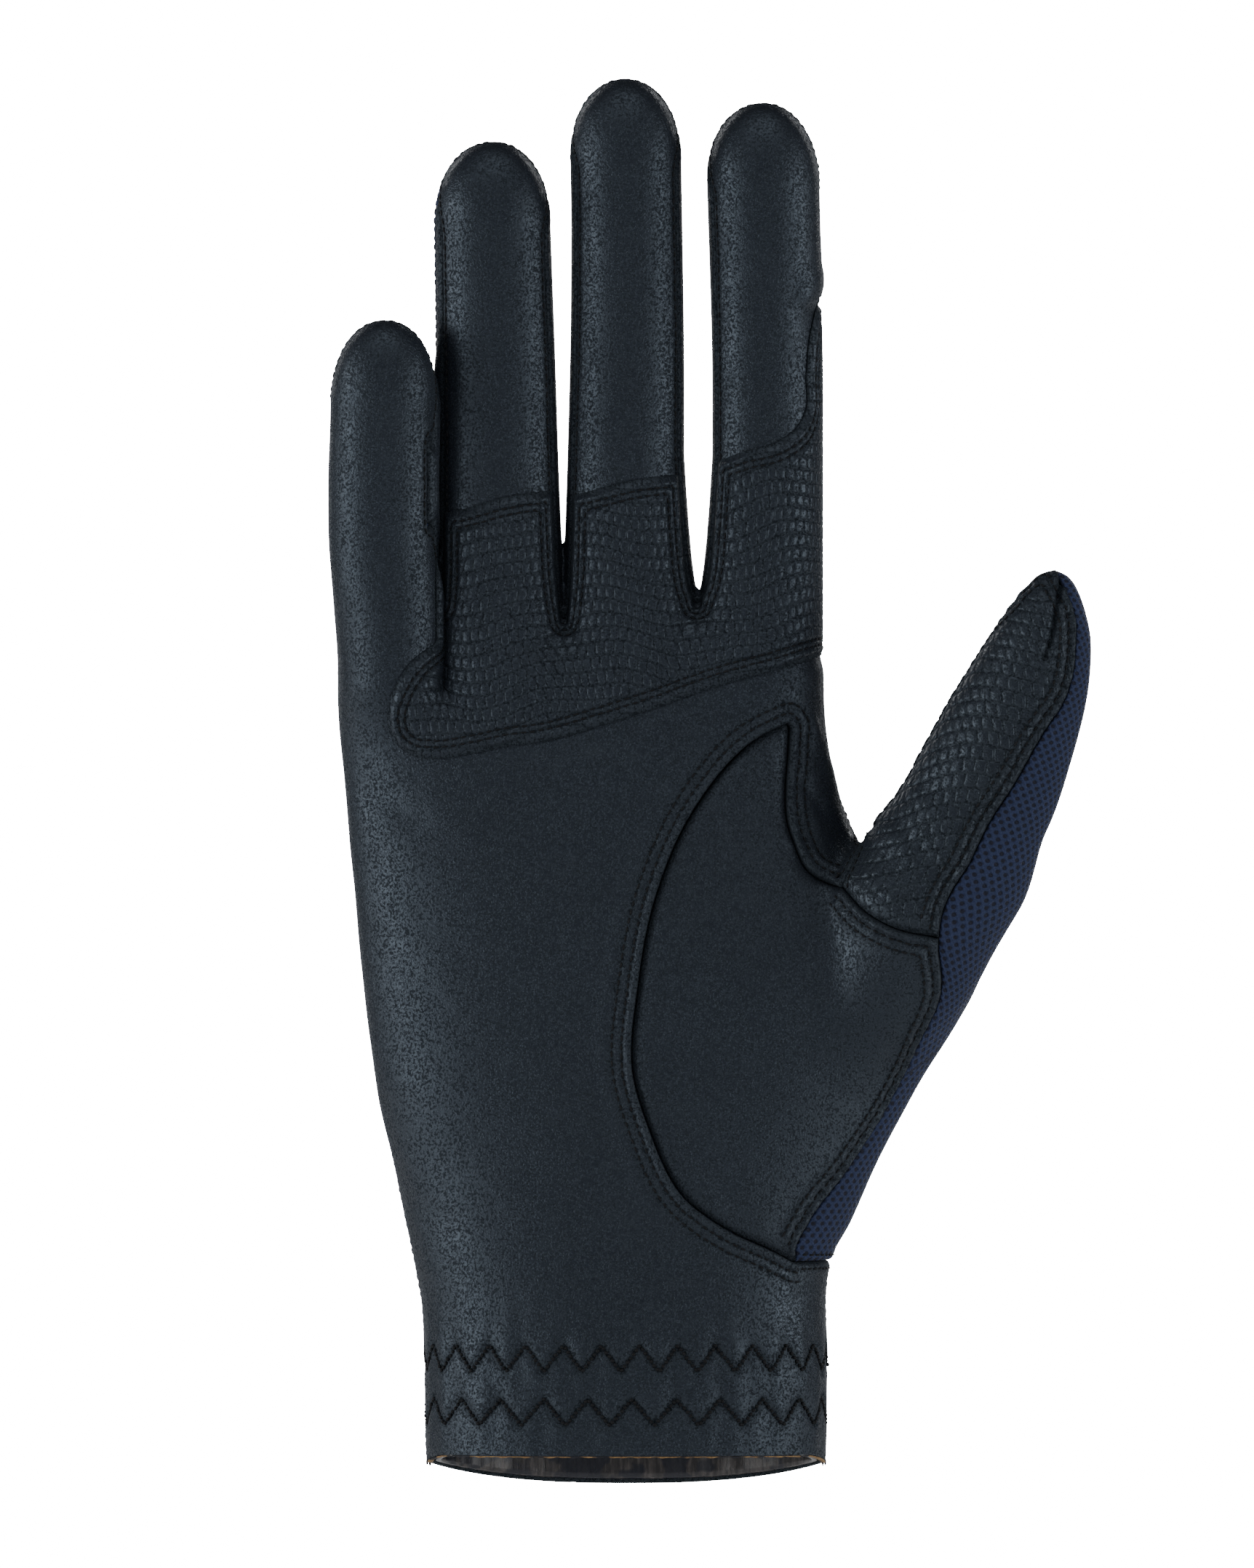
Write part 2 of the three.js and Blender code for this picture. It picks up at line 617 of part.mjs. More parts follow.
// The seam across the thumb's root, under its front leather.
const thumbRootSeam = [
  { u: -0.86, along: 0.27 },
  { u: -0.54, along: 0.25 },
  { u: -0.13, along: 0.247 },
];
const thumbRootEnd = onThumb({ u: 0.38, along: 0.268 })[1]; // where it runs into the seam along the thumb
const seamCorner = onThumb(thumbRootSeam[0]);

const insidePalm = () => -1.5; // a depth inside the hollow palm
const insideThumb = (x, z) => Math.min(insidePalm(), thumbAxisAt(z).y + 1);
const intoCrotch = [crotch[0] + 2 * beyond, crotch[1] + 4 * beyond];
const seamFoot = thumbSeam[thumbSeam.length - 1][0];

const seams = [
  ...fingers.slice(0, 3).flatMap((f, i) => [-1, 1].map((side) => fourchetteSeam(f, fingers[i + 1], side))),
  outerSeam(),
  sheet(radialHeights, radialColumns),
  sheet([-beyond, cuffHeight], () => [[cuffWidth / 4, wrapSeamBack], [cuffWidth, wrapSeamBack]]),
  levelCut(-cuffWidth, cuffWidth, wrapSeamBack, behind, cuffHeight),
  levelCut(seamFoot, cuffWidth, front, wrapSeamBack + seamGap, cuffHeight),
  seamWall(thumbSeam, insideThumb),
  seamWall(smoothLine(ballSeamRows.map(onPalm)), insidePalm),
  seamWall(smoothLine([...ballSeamReturn.map(onPalm), seamCorner]), insidePalm),
  seamWall(
    smoothLine([...thumbRootSeam.map(onThumb), [thumbSeamX(thumbRootEnd) + seamGap, thumbRootEnd]]),
    insidePalm,
  ),
  seamWall([seamCorner, crotch, intoCrotch], (x, z) => radialY(x, z) + 0.1),
];

const panels = seams
  .reduce((left, seam) => left.subtract(seam), handForm(0).subtract(handForm(-wall, pastHem)))
  .decompose();

// The panel that holds most of a small block.
function panelAt(block) {
  const share = (panel) => panel.intersect(block).volume();
  return panels.reduce((best, panel) => (share(panel) > share(best) ? panel : best));
}
const blockHalf = 2;
const blockAt = (x, z, y0, y1) => slab(x - blockHalf, x + blockHalf, y0, y1, z - blockHalf, z + blockHalf);
function fourchetteAt(f) {
  const height = f.rightWeb.height + 0.4 * (f.tipHeight - f.rightWeb.height);
  const y = fingerAt(f, height).y;
  return slab(f.x, f.x + f.width, y - blockHalf, y + blockHalf, height - blockHalf, height + blockHalf);
}

// The embossed grip patch lies on the front, over the roots of the fingers, and wraps round the index finger.
// across goes from the little finger's side of the knuckles to the index finger's, and up is a share of
// their height.
const patchLowerEdge = [
  { across: 1.07, up: 1.06 },
  { across: 0.996, up: 1.041 },
  { across: 0.91, up: 1.023 },
  { across: 0.786, up: 1.002 },
  { across: 0.661, up: 0.975 },
  { across: 0.535, up: 0.95 },
  { across: 0.412, up: 0.93 },
  { across: 0.353, up: 0.926 },
  { across: 0.278, up: 0.916 },
  { across: 0.202, up: 0.91 },
  { across: 0.152, up: 0.914 },
  { across: 0.114, up: 0.934 },
  { across: 0.102, up: 0.964 },
  { across: 0.117, up: 0.999 },
  { across: 0.152, up: 1.032 },
  { across: 0.19, up: 1.051 },
];
// u goes across a finger from -1 to 1, and up is a share of its length above the knuckles.
const patchUpperEdge = {
  ring: [
    { u: -0.53, up: 0.327 },
    { u: 0.16, up: 0.348 },
    { u: 0.93, up: 0.361 },
  ],
  middle: [
    { u: -0.75, up: 0.321 },
    { u: 0.12, up: 0.341 },
    { u: 0.97, up: 0.351 },
  ],
  index: [
    { u: -0.88, up: 0.387 },
    { u: -0.43, up: 0.404 },
    { u: 0.14, up: 0.419 },
    { u: 0.48, up: 0.443 },
    { u: 0.66, up: 0.477 },
    { u: 0.66, up: 0.531 },
    { u: 0.76, up: 0.619 },
    { u: 1.0, up: 0.687 },
    { u: 1.5, up: 0.72 },
  ],
};
const patchCorner = 1.055; // share of the knuckles' height where its edge turns up beside the ring finger
const patchInset = 0.6; // from the patch's edge back to a seam
function gripPatch() {
  const outline = patchLowerEdge.map(({ across, up }) => [
    mix(knuckleLeft, knuckleRight, across),
    up * knuckleHeight,
  ]);
  for (const f of fingers.slice(1)) {
    const onFinger = ({ u, up }) => [f.x + (u * f.width) / 2, knuckleHeight + up * f.length];
    const edge = patchUpperEdge[f.name].map(onFinger);
    const between = f.x - (f.width + f.leftWeb.gap) / 2;
    if (f === ringFinger) outline.push([between, patchCorner * knuckleHeight]);
    outline.push([between, edge[0][1] - 1], ...edge);
  }
  const shape = new THREE.Shape(outline.map(([x, z]) => new THREE.Vector2(x, z)));
  const prism = new THREE.ExtrudeGeometry(shape, { depth: -front, bevelEnabled: false });
  prism.rotateX(Math.PI / 2);
  prism.translate(0, -front / 2, 0);
  const solid = solidOf(prism.attributes.position.array);

  const ahead = fourchetteWidth / 2 + patchInset;
  const heights = [rootHeight, knuckleHeight, webs[2].height, indexFinger.tipHeight];
  const limits = inSteps(heights).map((height) => {
    const axes = fingers.map((f) => axisOf(f, height));
    const depths = axes.map(({ x, y }) => [x, y - ahead]);
    const [x, y] = depths[3];
    const wrapped = y + ahead + wrapSeamBack - patchInset;
    const outer = [[x + 1, wrapped], [x + cuffWidth, wrapped]];
    const columns = [[x - 4 * cuffWidth, depths[0][1]], ...depths, ...outer];
    return columns.map(([cx, cy]) => [cx, cy, height]);
  });
  const room = plate(
    limits.map((row) => row.map(([x, , z]) => [x, front, z])),
    limits,
  );
  const over = gripClearance + gripThickness;
  return handForm(over).intersect(solid).intersect(room).subtract(handForm(gripClearance, pastHem));
}

// The band inside the cuff's hem.
function hemFacing() {
  const outer = -wall - facingClearance;
  const inner = outer - facingThickness;
  const band = (grow, low, high) => loft([hemRing(grow, low), palmRing(high, grow)]);
  return band(outer, facingInset, facingHeight).subtract(band(inner, -pastHem, facingHeight + beyond));
}

const ballMiddle = onPalm({ u: 0.85, v: 0.4 });
const thumbMiddle = onThumb({ u: 0, along: 0.55 });
const palmMiddle = onPalm({ u: 0.25, v: 0.35 });
const thumbFront = panelAt(blockAt(...thumbMiddle, front, -thumbForward));
const parts = [
  { name: "palm_panel", solid: panelAt(blockAt(...palmMiddle, front, 0)), material: "leather" },
  { name: "thumb_base_panel", solid: panelAt(blockAt(...ballMiddle, front, 0)), material: "leather" },
  { name: "thumb_grip_panel", solid: thumbFront, material: "grip" },
  { name: "back_panel", solid: panelAt(blockAt(...palmMiddle, 0, behind)), material: "mesh" },
  { name: "cuff_back_panel", solid: panelAt(blockAt(0, cuffHeight / 2, 0, behind)), material: "leather" },
  { name: "fourchette_little_ring", solid: panelAt(fourchetteAt(littleFinger)), material: "leather" },
  { name: "fourchette_ring_middle", solid: panelAt(fourchetteAt(ringFinger)), material: "leather" },
  { name: "fourchette_middle_index", solid: panelAt(fourchetteAt(middleFinger)), material: "leather" },
  { name: "palm_grip_patch", solid: gripPatch(), material: "grip" },
  { name: "hem_facing", solid: hemFacing(), material: "facing" },
];

const glove = new THREE.Group();
for (const { name, solid, material } of parts) {
  const mesh = new THREE.Mesh(geometryOf(solid), materials[material]);
  mesh.name = name;
  glove.add(mesh);
}
export default glove;
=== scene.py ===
"""Dresses a worn riding glove: leather and knit panels, turned seams, stitches, grip patch and cuff."""

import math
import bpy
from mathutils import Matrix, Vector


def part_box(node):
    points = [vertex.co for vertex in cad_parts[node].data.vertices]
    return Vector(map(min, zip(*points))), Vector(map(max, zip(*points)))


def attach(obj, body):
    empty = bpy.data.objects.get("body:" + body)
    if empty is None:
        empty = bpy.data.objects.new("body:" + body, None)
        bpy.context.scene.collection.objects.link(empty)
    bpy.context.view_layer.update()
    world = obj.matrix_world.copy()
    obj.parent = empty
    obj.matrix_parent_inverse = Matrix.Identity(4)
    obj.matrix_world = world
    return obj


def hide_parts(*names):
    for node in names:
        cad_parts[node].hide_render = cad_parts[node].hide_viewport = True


bl_info = {
    "name": "Riding Glove",
    "version": (1, 0, 0),
    "blender": (4, 5, 0),
    "location": "3D View > Sidebar > Glove",
    "description": "Makes the leather, knit, seams and stitches of a riding glove round its frame",
    "category": "Add Mesh",
}

import bpy
import numpy as np
from bpy.props import FloatProperty, FloatVectorProperty, PointerProperty
from mathutils import Vector
from mathutils.bvhtree import BVHTree
from mathutils.kdtree import KDTree

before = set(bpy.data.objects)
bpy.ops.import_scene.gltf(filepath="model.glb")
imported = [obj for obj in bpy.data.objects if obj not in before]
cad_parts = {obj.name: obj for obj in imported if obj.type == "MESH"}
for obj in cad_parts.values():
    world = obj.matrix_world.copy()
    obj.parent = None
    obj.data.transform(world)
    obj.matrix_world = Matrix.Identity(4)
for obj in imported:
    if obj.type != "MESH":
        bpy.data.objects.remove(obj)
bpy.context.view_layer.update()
MM = 0.001

# The worn form, in millimetres: +Z to the fingertips, -Y out of the palm, +X to the thumb
KNUCKLES = 134.0
CUFF_TOP = 37.4
CUFF_WIDTH = 67.2
CUFF_DEPTH = 39.0
HEEL_DEPTH = 35.0
KNUCKLE_DEPTH = 23.4
BALL_REACH = 23.0
HEM_RISE = 5.55
HEM_DROP = 0.65
HEM_SIDE_SHARE = 0.74
MIDDLE_X = 0.4
FINGER_CURL = 6.0
FINGERTIP = 14.0
FINGER_ROUNDNESS = 2.35
TIP_ROUNDNESS = 2.1
PALM_ROUNDNESS = 2.5
THUMB_ROUNDNESS = 2.15
FOURCHETTE_WIDTH = 9.0
WRAP_BACK = 4.2
PATCH_STEP = 0.3 + 0.8
THUMB_OUT = 38.25
THUMB_RISE = 19.4
THUMB_FORWARD = 16.0
THUMB_SEAM_BACK = 3.4
JOINT_SIZE = (24.8, 21.0)
ROOT_SIZE = (30.4, 29.0)

FINGERS = {
    "little": dict(width=17.8, depth=16.2, length=61.5, tip_lean=0.6, forward=4.6, root_lean=1.6),
    "ring": dict(width=19.4, depth=17.2, length=91.6, tip_lean=-0.4, forward=0.0, root_lean=0.3),
    "middle": dict(width=18.7, depth=17.4, length=102.2, tip_lean=-0.6, forward=0.0, root_lean=0.0),
    "index": dict(width=18.9, depth=17.4, length=98.1, tip_lean=-1.1, forward=0.4, root_lean=0.0),
}
WEBS = (
    dict(gap=0.5, rise=0.5, open=40.0, bend=0.7),
    dict(gap=3.5, rise=12.0, open=66.0, bend=0.7),
    dict(gap=4.7, rise=15.2, open=24.0, bend=0.5),
)
# up is a share of the knuckles' height. spread goes from the cuff's width to the knuckles', ball is a share
# of BALL_REACH, heel goes from the cuff's depth to the heel's, and thin from there to the knuckles'.
PALM_COLUMNS = ("up", "spread", "ball", "heel", "thin")
PALM_ROWS = (
    (0.0, 0.0, 0.0, 0.0, 0.0),
    (0.145, 0.01, 0.0, 0.1, 0.0),
    (0.22, 0.05, 0.0, 0.4, 0.0),
    (0.27, 0.13, 0.02, 0.7, 0.0),
    (0.33, 0.25, 0.19, 0.9, 0.0),
    (0.403, 0.38, 0.38, 1.0, 0.0),
    (0.49, 0.56, 0.65, 1.0, 0.0),
    (0.57, 0.66, 0.91, 1.0, 0.04),
    (0.64, 0.73, 1.07, 1.0, 0.14),
    (0.7, 0.78, 0.84, 1.0, 0.26),
    (0.755, 0.83, 0.5, 1.0, 0.4),
    (0.81, 0.88, 0.23, 1.0, 0.54),
    (0.87, 0.92, 0.1, 1.0, 0.7),
    (0.935, 0.96, 0.03, 1.0, 0.87),
    (1.0, 1.0, 0.0, 1.0, 1.0),
)
# x, up and forward are shares of the thumb tip's place, wide and deep shares of the joint's size, or of the
# root's where root is 1, and turn is how far the thumb leans out, in degrees.
THUMB_COLUMNS = ("along", "x", "up", "turn", "wide", "deep", "root", "forward")
THUMB_ROWS = (
    (0.0, 0.46, 0.456, 28, 0.37, 0.36, 1, 0.2),
    (0.15, 0.602, 0.548, 28, 0.45, 0.47, 1, 0.28),
    (0.27, 0.663, 0.616, 27, 0.497, 0.495, 1, 0.38),
    (0.36, 0.739, 0.668, 25, 0.475, 0.43, 1, 0.48),
    (0.5, 0.826, 0.746, 22, 0.5, 0.5, 0, 0.6),
    (0.65, 0.901, 0.826, 21, 0.455, 0.455, 0, 0.74),
    (0.8, 0.969, 0.905, 20, 0.362, 0.385, 0, 0.87),
    (0.9, 0.998, 0.955, 17, 0.257, 0.29, 0, 0.95),
    (0.96, 1.003, 0.984, 10, 0.160, 0.175, 0, 0.99),
)
# The last rows round the thumb's tip off
THUMB_TIP_ROWS = (
    (0.98, 1.004, 0.992, 8, 0.122, 0.13, 0, 0.995),
    (0.99, 1.0045, 0.996, 7, 0.09, 0.095, 0, 0.997),
    (0.996, 1.005, 0.9985, 6, 0.058, 0.06, 0, 0.999),
    (1.0, 1.005, 1.0, 6, 0.02, 0.02, 0, 1.0),
)
# Seams on the palm's view. u goes across the palm or the thumb, v from the cuff's top to the knuckles.
THUMB_SEAM = ((0.15, 1.0), (0.42, 0.962), (0.66, 0.9), (0.66, 0.847), (0.68, 0.79), (0.64, 0.74),
              (0.47, 0.665), (0.34, 0.56), (0.24, 0.473), (0.22, 0.4), (0.26, 0.307),
              (0.4, 0.26), (0.66, 0.19))
THUMB_SEAM_FOOT = ((0.949, 0.372, 1), (0.956, 0.261, 1), (0.938, 0.161, 1), (0.9, 0.068, 1), (0.905, 0.02, 1),
                   (0.93, -0.004, 0))
BALL_SEAM = ((0.93, -0.004), (0.869, 0.02), (0.766, 0.056), (0.669, 0.111), (0.598, 0.237), (0.574, 0.327),
             (0.595, 0.48), (0.642, 0.64), (0.731, 0.793), (0.856, 0.908), (0.931, 0.941))
BALL_SEAM_RETURN = ((0.931, 0.941), (0.927, 0.883), (0.921, 0.828),
                    (0.922, 0.772), (0.938, 0.724), (0.964, 0.682))
THUMB_ROOT_SEAM = ((-0.86, 0.27), (-0.54, 0.25), (-0.13, 0.247), (0.38, 0.268))
CROTCH = (-1.0, 0.36)
# The grip patch's outline: across the knuckles and up as a share of their height, then finger by finger.
PATCH_LOWER = ((1.07, 1.06), (0.996, 1.041), (0.91, 1.023), (0.786, 1.002), (0.661, 0.975), (0.535, 0.95),
               (0.412, 0.93), (0.353, 0.926), (0.278, 0.916), (0.202, 0.91), (0.152, 0.914), (0.114, 0.934),
               (0.102, 0.964), (0.117, 0.999), (0.152, 1.032), (0.19, 1.051))
PATCH_UPPER = {
    "ring": ((-0.53, 0.327), (0.16, 0.348), (0.93, 0.361)),
    "middle": ((-0.75, 0.321), (0.12, 0.341), (0.97, 0.351)),
    "index": ((-0.88, 0.387), (-0.43, 0.404), (0.14, 0.419), (0.48, 0.443), (0.66, 0.477), (0.66, 0.531),
              (0.76, 0.619), (1.0, 0.687), (1.5, 0.72)),
}
PATCH_CORNER = 1.055
# The dart sewn into the thumb's tip, as x and z
THUMB_DART = ((73.4, 153.6), (72.3, 149.0), (71.4, 143.0), (70.0, 138.6))

# Seam profiles: how high the leather stands at a distance from the seam, in millimetres
PROFILES = {
    "turned": ((0.0, -0.5), (0.35, -0.12), (0.8, 0.14), (1.2, 0.02), (1.7, 0.1), (2.6, 0.0)),
    "lap_over": ((0.0, 0.1), (0.35, 0.62), (0.8, 0.62), (1.7, 0.24), (2.6, 0.42), (3.3, 0.16), (4.4, 0.22),
                 (6.5, 0.0)),
    "lap_under": ((0.0, -0.75), (0.35, -0.6), (1.2, -0.25), (2.6, 0.0)),
    "ridge": ((0.0, -0.35), (0.35, 0.2), (0.8, 0.45), (1.7, -0.05), (2.6, 0.4), (3.3, 0.25), (4.6, 0.0)),
    "mesh_edge": ((0.0, -0.25), (0.35, -0.1), (1.2, 0.0)),
}
# Distances from a seam at which the mesh gets an edge of its own
PROFILE_STEPS = (0.35, 0.8, 1.2, 1.7, 2.6, 3.3)
# Which rows of stitches a panel carries beside its seam with another: their distances from it
STITCH_ROWS = {
    "lap_over": (1.7, 3.3),
    "ridge": (1.7, 3.3),
    "turned": (1.2,),
    "mesh_edge": (),
    "lap_under": (),
}


class GloveSizes(bpy.types.PropertyGroup):
    """Sizes of the leather, the seams and the stitches"""

    mesh_step: FloatProperty(name="Mesh Step", description="Distance between points of the panels",
                             default=0.96 * MM, unit="LENGTH")
    patch_step: FloatProperty(name="Patch Step", default=0.66 * MM, unit="LENGTH",
                              description="Distance between points of the grip patch before it is embossed")
    wall: FloatProperty(name="Leather", description="Thickness of the leather and the knit",
                        default=1.1 * MM, unit="LENGTH")
    seam_gap: FloatProperty(name="Seam Gap", description="Clear space between two panels at their seam",
                            default=0.16 * MM, unit="LENGTH")
    stitch_pitch: FloatProperty(name="Stitch Pitch", description="Distance between two stitches of a seam",
                                default=1.5 * MM, unit="LENGTH")
    stitch_length: FloatProperty(name="Stitch Length", description="Length of one stitch",
                                 default=1.15 * MM, unit="LENGTH")
    thread: FloatProperty(name="Thread", description="Thickness of the sewing thread",
                          default=0.4 * MM, unit="LENGTH")
    scale_width: FloatProperty(name="Scale Width", description="Width of one embossed scale",
                               default=1.45 * MM, unit="LENGTH")
    scale_height: FloatProperty(name="Scale Height", description="Height of one embossed scale",
                                default=2.3 * MM, unit="LENGTH")
    scale_relief: FloatProperty(name="Scale Relief", description="How far the scales stand out",
                                default=0.24 * MM, unit="LENGTH")
    knit_pitch: FloatProperty(name="Knit Pitch", description="Distance between two holes of the knit",
                              default=1.8 * MM, unit="LENGTH")


class GloveColours(bpy.types.PropertyGroup):
    """Colours of the glove's materials"""

    leather: FloatVectorProperty(name="Leather", description="Dark navy leather", subtype="COLOR", size=3,
                                 min=0, max=1, default=(0.0088, 0.0108, 0.0160))
    # Paler colour painted on the grain's crowns where the slow tone is high: a painted highlight over a real
    # patchy tone
    leather_crown_highlight: FloatVectorProperty(name="Leather Crown Highlight",
                                      description="Paler tone of the grain's high spots",
                                      subtype="COLOR", size=3, min=0, max=1, default=(0.021, 0.028, 0.039))
    knit: FloatVectorProperty(name="Knit", description="Navy yarn", subtype="COLOR", size=3,
                              min=0, max=1, default=(0.013, 0.023, 0.066))
    # The knit's holes are painted this dark colour as painted shade
    knit_hole: FloatVectorProperty(name="Knit Holes",
                                   description="Holes of the knit", subtype="COLOR", size=3,
                                   min=0, max=1, default=(0.003, 0.005, 0.016))
    facing: FloatVectorProperty(name="Facing",
                                description="Greyish-brown facing inside the hem", subtype="COLOR",
                                size=3, min=0, max=1, default=(0.026, 0.025, 0.027))
    thread: FloatVectorProperty(name="Thread", description="Sewing thread", subtype="COLOR", size=3,
                                min=0, max=1, default=(0.0022, 0.0028, 0.004))
    raw_edge: FloatVectorProperty(name="Raw Edge", description="Cut edge of the hem", subtype="COLOR", size=3,
                                  min=0, max=1, default=(0.30, 0.19, 0.08))


def sizes():
    return bpy.context.scene.glove_sizes


def colours():
    return bpy.context.scene.glove_colours


# Small helpers for curves and fields
def smooth(t):
    t = np.clip(t, 0.0, 1.0)
    return t * t * (3 - 2 * t)


def mix(a, b, t):
    return a + (b - a) * t


def bell(distance, width):
    return np.exp(-((distance / width) ** 2))


def smooth_min(a, b, blend):
    near = np.maximum(blend - np.abs(a - b), 0) / blend
    return np.minimum(a, b) - near * near * blend / 4


def smooth_curve(xs, ys):
    """A smooth curve through a table's points that doesn't overshoot them."""
    xs = np.array(xs, float)
    ys = np.array(ys, float)
    step = np.diff(xs)
    slope = np.diff(ys) / step
    tangent = np.zeros_like(ys)
    for i in range(1, len(xs) - 1):
        if slope[i - 1] * slope[i] > 0:
            left = 2 * step[i] + step[i - 1]
            right = step[i] + 2 * step[i - 1]
            tangent[i] = (left + right) / (left / slope[i - 1] + right / slope[i])
    tangent[0] = slope[0]
    tangent[-1] = slope[-1]

    fine = np.linspace(xs[0], xs[-1], 4001)
    i = np.clip(np.searchsorted(xs, fine) - 1, 0, len(step) - 1)
    t = (fine - xs[i]) / step[i]
    values = ((1 + 2 * t) * (1 - t) ** 2 * ys[i] + t * (1 - t) ** 2 * step[i] * tangent[i]
              + t * t * (3 - 2 * t) * ys[i + 1] + t * t * (t - 1) * step[i] * tangent[i + 1])
    rise = np.append(np.diff(values), 0.0)
    share = (len(fine) - 1) / (xs[-1] - xs[0])

    def at(x):
        place = np.clip((x - xs[0]) * share, 0, len(fine) - 1)
        whole = place.astype(int) if isinstance(place, np.ndarray) else int(place)
        return values[whole] + rise[whole] * (place - whole)

    return at


def table_curves(columns, rows):
    data = list(zip(*rows))
    return {name: smooth_curve(data[0], data[i]) for i, name in enumerate(columns) if i}


def smooth_line(points, step=0.7):
    """A smooth line through points of the palm's view, with a point every step."""
    points = np.array(points, float)
    chord = np.concatenate([[0], np.cumsum(np.linalg.norm(np.diff(points, axis=0), axis=1))])
    tangent = np.gradient(points, chord, axis=0)
    at = np.linspace(0, chord[-1], max(2, int(chord[-1] / step)))
    i = np.clip(np.searchsorted(chord, at) - 1, 0, len(chord) - 2)
    size = (chord[i + 1] - chord[i])[:, None]
    t = ((at - chord[i]) / size[:, 0])[:, None]
    return ((1 + 2 * t) * (1 - t) ** 2 * points[i] + t * (1 - t) ** 2 * size * tangent[i]
            + t * t * (3 - 2 * t) * points[i + 1] + t * t * (t - 1) * size * tangent[i + 1])


def line_distance(line, x, z):
    """Signed distance to a line of the palm's view, positive on its left as one goes along it."""
    best = np.full(len(x), 1e9)
    side = np.ones(len(x))
    for (ax, az), (bx, bz) in zip(line[:-1], line[1:]):
        dx = bx - ax
        dz = bz - az
        t = np.clip(((x - ax) * dx + (z - az) * dz) / (dx * dx + dz * dz + 1e-12), 0, 1)
        distance = np.hypot(x - ax - t * dx, z - az - t * dz)
        cross = dx * (z - az) - dz * (x - ax)
        closer = distance < best - 1e-9
        best = np.where(closer, distance, best)
        side = np.where(closer, np.where(cross >= 0, 1.0, -1.0), side)
    return best * side


def outline_distance(outline, x, z):
    """Signed distance to a closed outline of the palm's view, negative inside it."""
    closed = np.vstack([outline, outline[:1]])
    distance = np.abs(line_distance(closed, x, z))
    inside = np.zeros(len(x), bool)
    for (ax, az), (bx, bz) in zip(closed[:-1], closed[1:]):
        if az != bz:
            crosses = ((az > z) != (bz > z)) & (x < (bx - ax) * (z - az) / (bz - az) + ax)
            inside ^= crosses
    return np.where(inside, -distance, distance)


# The form
PALM = table_curves(PALM_COLUMNS, PALM_ROWS)
THUMB = table_curves(THUMB_COLUMNS, THUMB_ROWS + THUMB_TIP_ROWS)
BLEND_START = KNUCKLES - 7
ROOT_BLEND = 28.0
WEB_OVERLAP = 0.35
PARTITION_DEPTH = 12.0
WRAP_START = 0.02
WRAP_TOP = 0.66
WRAP_EASE = 0.06


def lay_out_fingers():
    """Fingers with their axes, tips and webs, from the little finger to the index finger."""
    fingers = [dict(row, name=name, tip=KNUCKLES + row["length"]) for name, row in FINGERS.items()]
    webs = [dict(web, height=KNUCKLES + web["rise"]) for web in WEBS]
    little, ring, middle, index = fingers
    middle["x"] = MIDDLE_X
    index["x"] = MIDDLE_X + (middle["width"] + index["width"]) / 2 + webs[2]["gap"]
    ring["x"] = MIDDLE_X - (middle["width"] + ring["width"]) / 2 - webs[1]["gap"]
    little["x"] = ring["x"] - (ring["width"] + little["width"]) / 2 - webs[0]["gap"]
    for i, finger in enumerate(fingers):
        finger["left_web"] = webs[i - 1] if i else None
        finger["right_web"] = webs[i] if i < len(webs) else None
    return fingers, webs


HAND, HAND_WEBS = lay_out_fingers()
KNUCKLE_LEFT = HAND[0]["x"] + HAND[0]["root_lean"] - HAND[0]["width"] / 2
KNUCKLE_RIGHT = HAND[3]["x"] + HAND[3]["width"] / 2
THUMB_TIP = (KNUCKLE_RIGHT + THUMB_OUT, KNUCKLES + THUMB_RISE)


def flare(web, z):
    """How far a finger's side stands out towards its neighbour."""
    if web is None:
        return 0.0
    rise = z - web["height"]
    touching = web["gap"] / 2 + WEB_OVERLAP
    above = touching * (1 - np.minimum(1, (np.maximum(rise, 0) / web["open"]) ** web["bend"]))
    return np.where(rise <= 0, touching + 3 * smooth(-rise / PARTITION_DEPTH), above)


def finger_at(finger, z):
    """Middle, half width and half depth of a finger's section."""
    along = np.clip((z - KNUCKLES) / finger["length"], 0, 1)
    lean = finger["root_lean"] * (1 - smooth(along / 0.5)) + finger["tip_lean"] * smooth((along - 0.5) / 0.5)
    left = finger["width"] / 2 + flare(finger["left_web"], z)
    right = finger["width"] / 2 + flare(finger["right_web"], z)
    if finger["right_web"] is None:
        wrapped = smooth((along - WRAP_START) / WRAP_EASE) * (1 - smooth((along - WRAP_TOP) / WRAP_EASE))
        right = right - PATCH_STEP * wrapped
    root = smooth((z - BLEND_START) / ROOT_BLEND)
    x = finger["x"] + lean + (right - left) / 2
    y = -FINGER_CURL * along**2 - finger["forward"] * root
    return x, y, (left + right) / 2, mix(KNUCKLE_DEPTH, finger["depth"], root) / 2


def radial(ratio, length, least):
    """Distance to a rounded form along the ray from its middle, negative inside."""
    return (ratio - 1) * np.where(length > 1e-6, length / np.maximum(ratio, 1e-9), least)


def finger_field(finger, x, y, z):
    cx, cy, a, b = finger_at(finger, z)
    u = x - cx
    v = y - cy
    rise = np.maximum(z - finger["tip"] + FINGERTIP, 0)
    flat = np.abs(u / a) ** FINGER_ROUNDNESS + np.abs(v / b) ** FINGER_ROUNDNESS
    flat = flat ** (TIP_ROUNDNESS / FINGER_ROUNDNESS)
    ratio = (flat + (rise / FINGERTIP) ** TIP_ROUNDNESS) ** (1 / TIP_ROUNDNESS)
    return radial(ratio, np.sqrt(u * u + v * v + rise * rise), b)


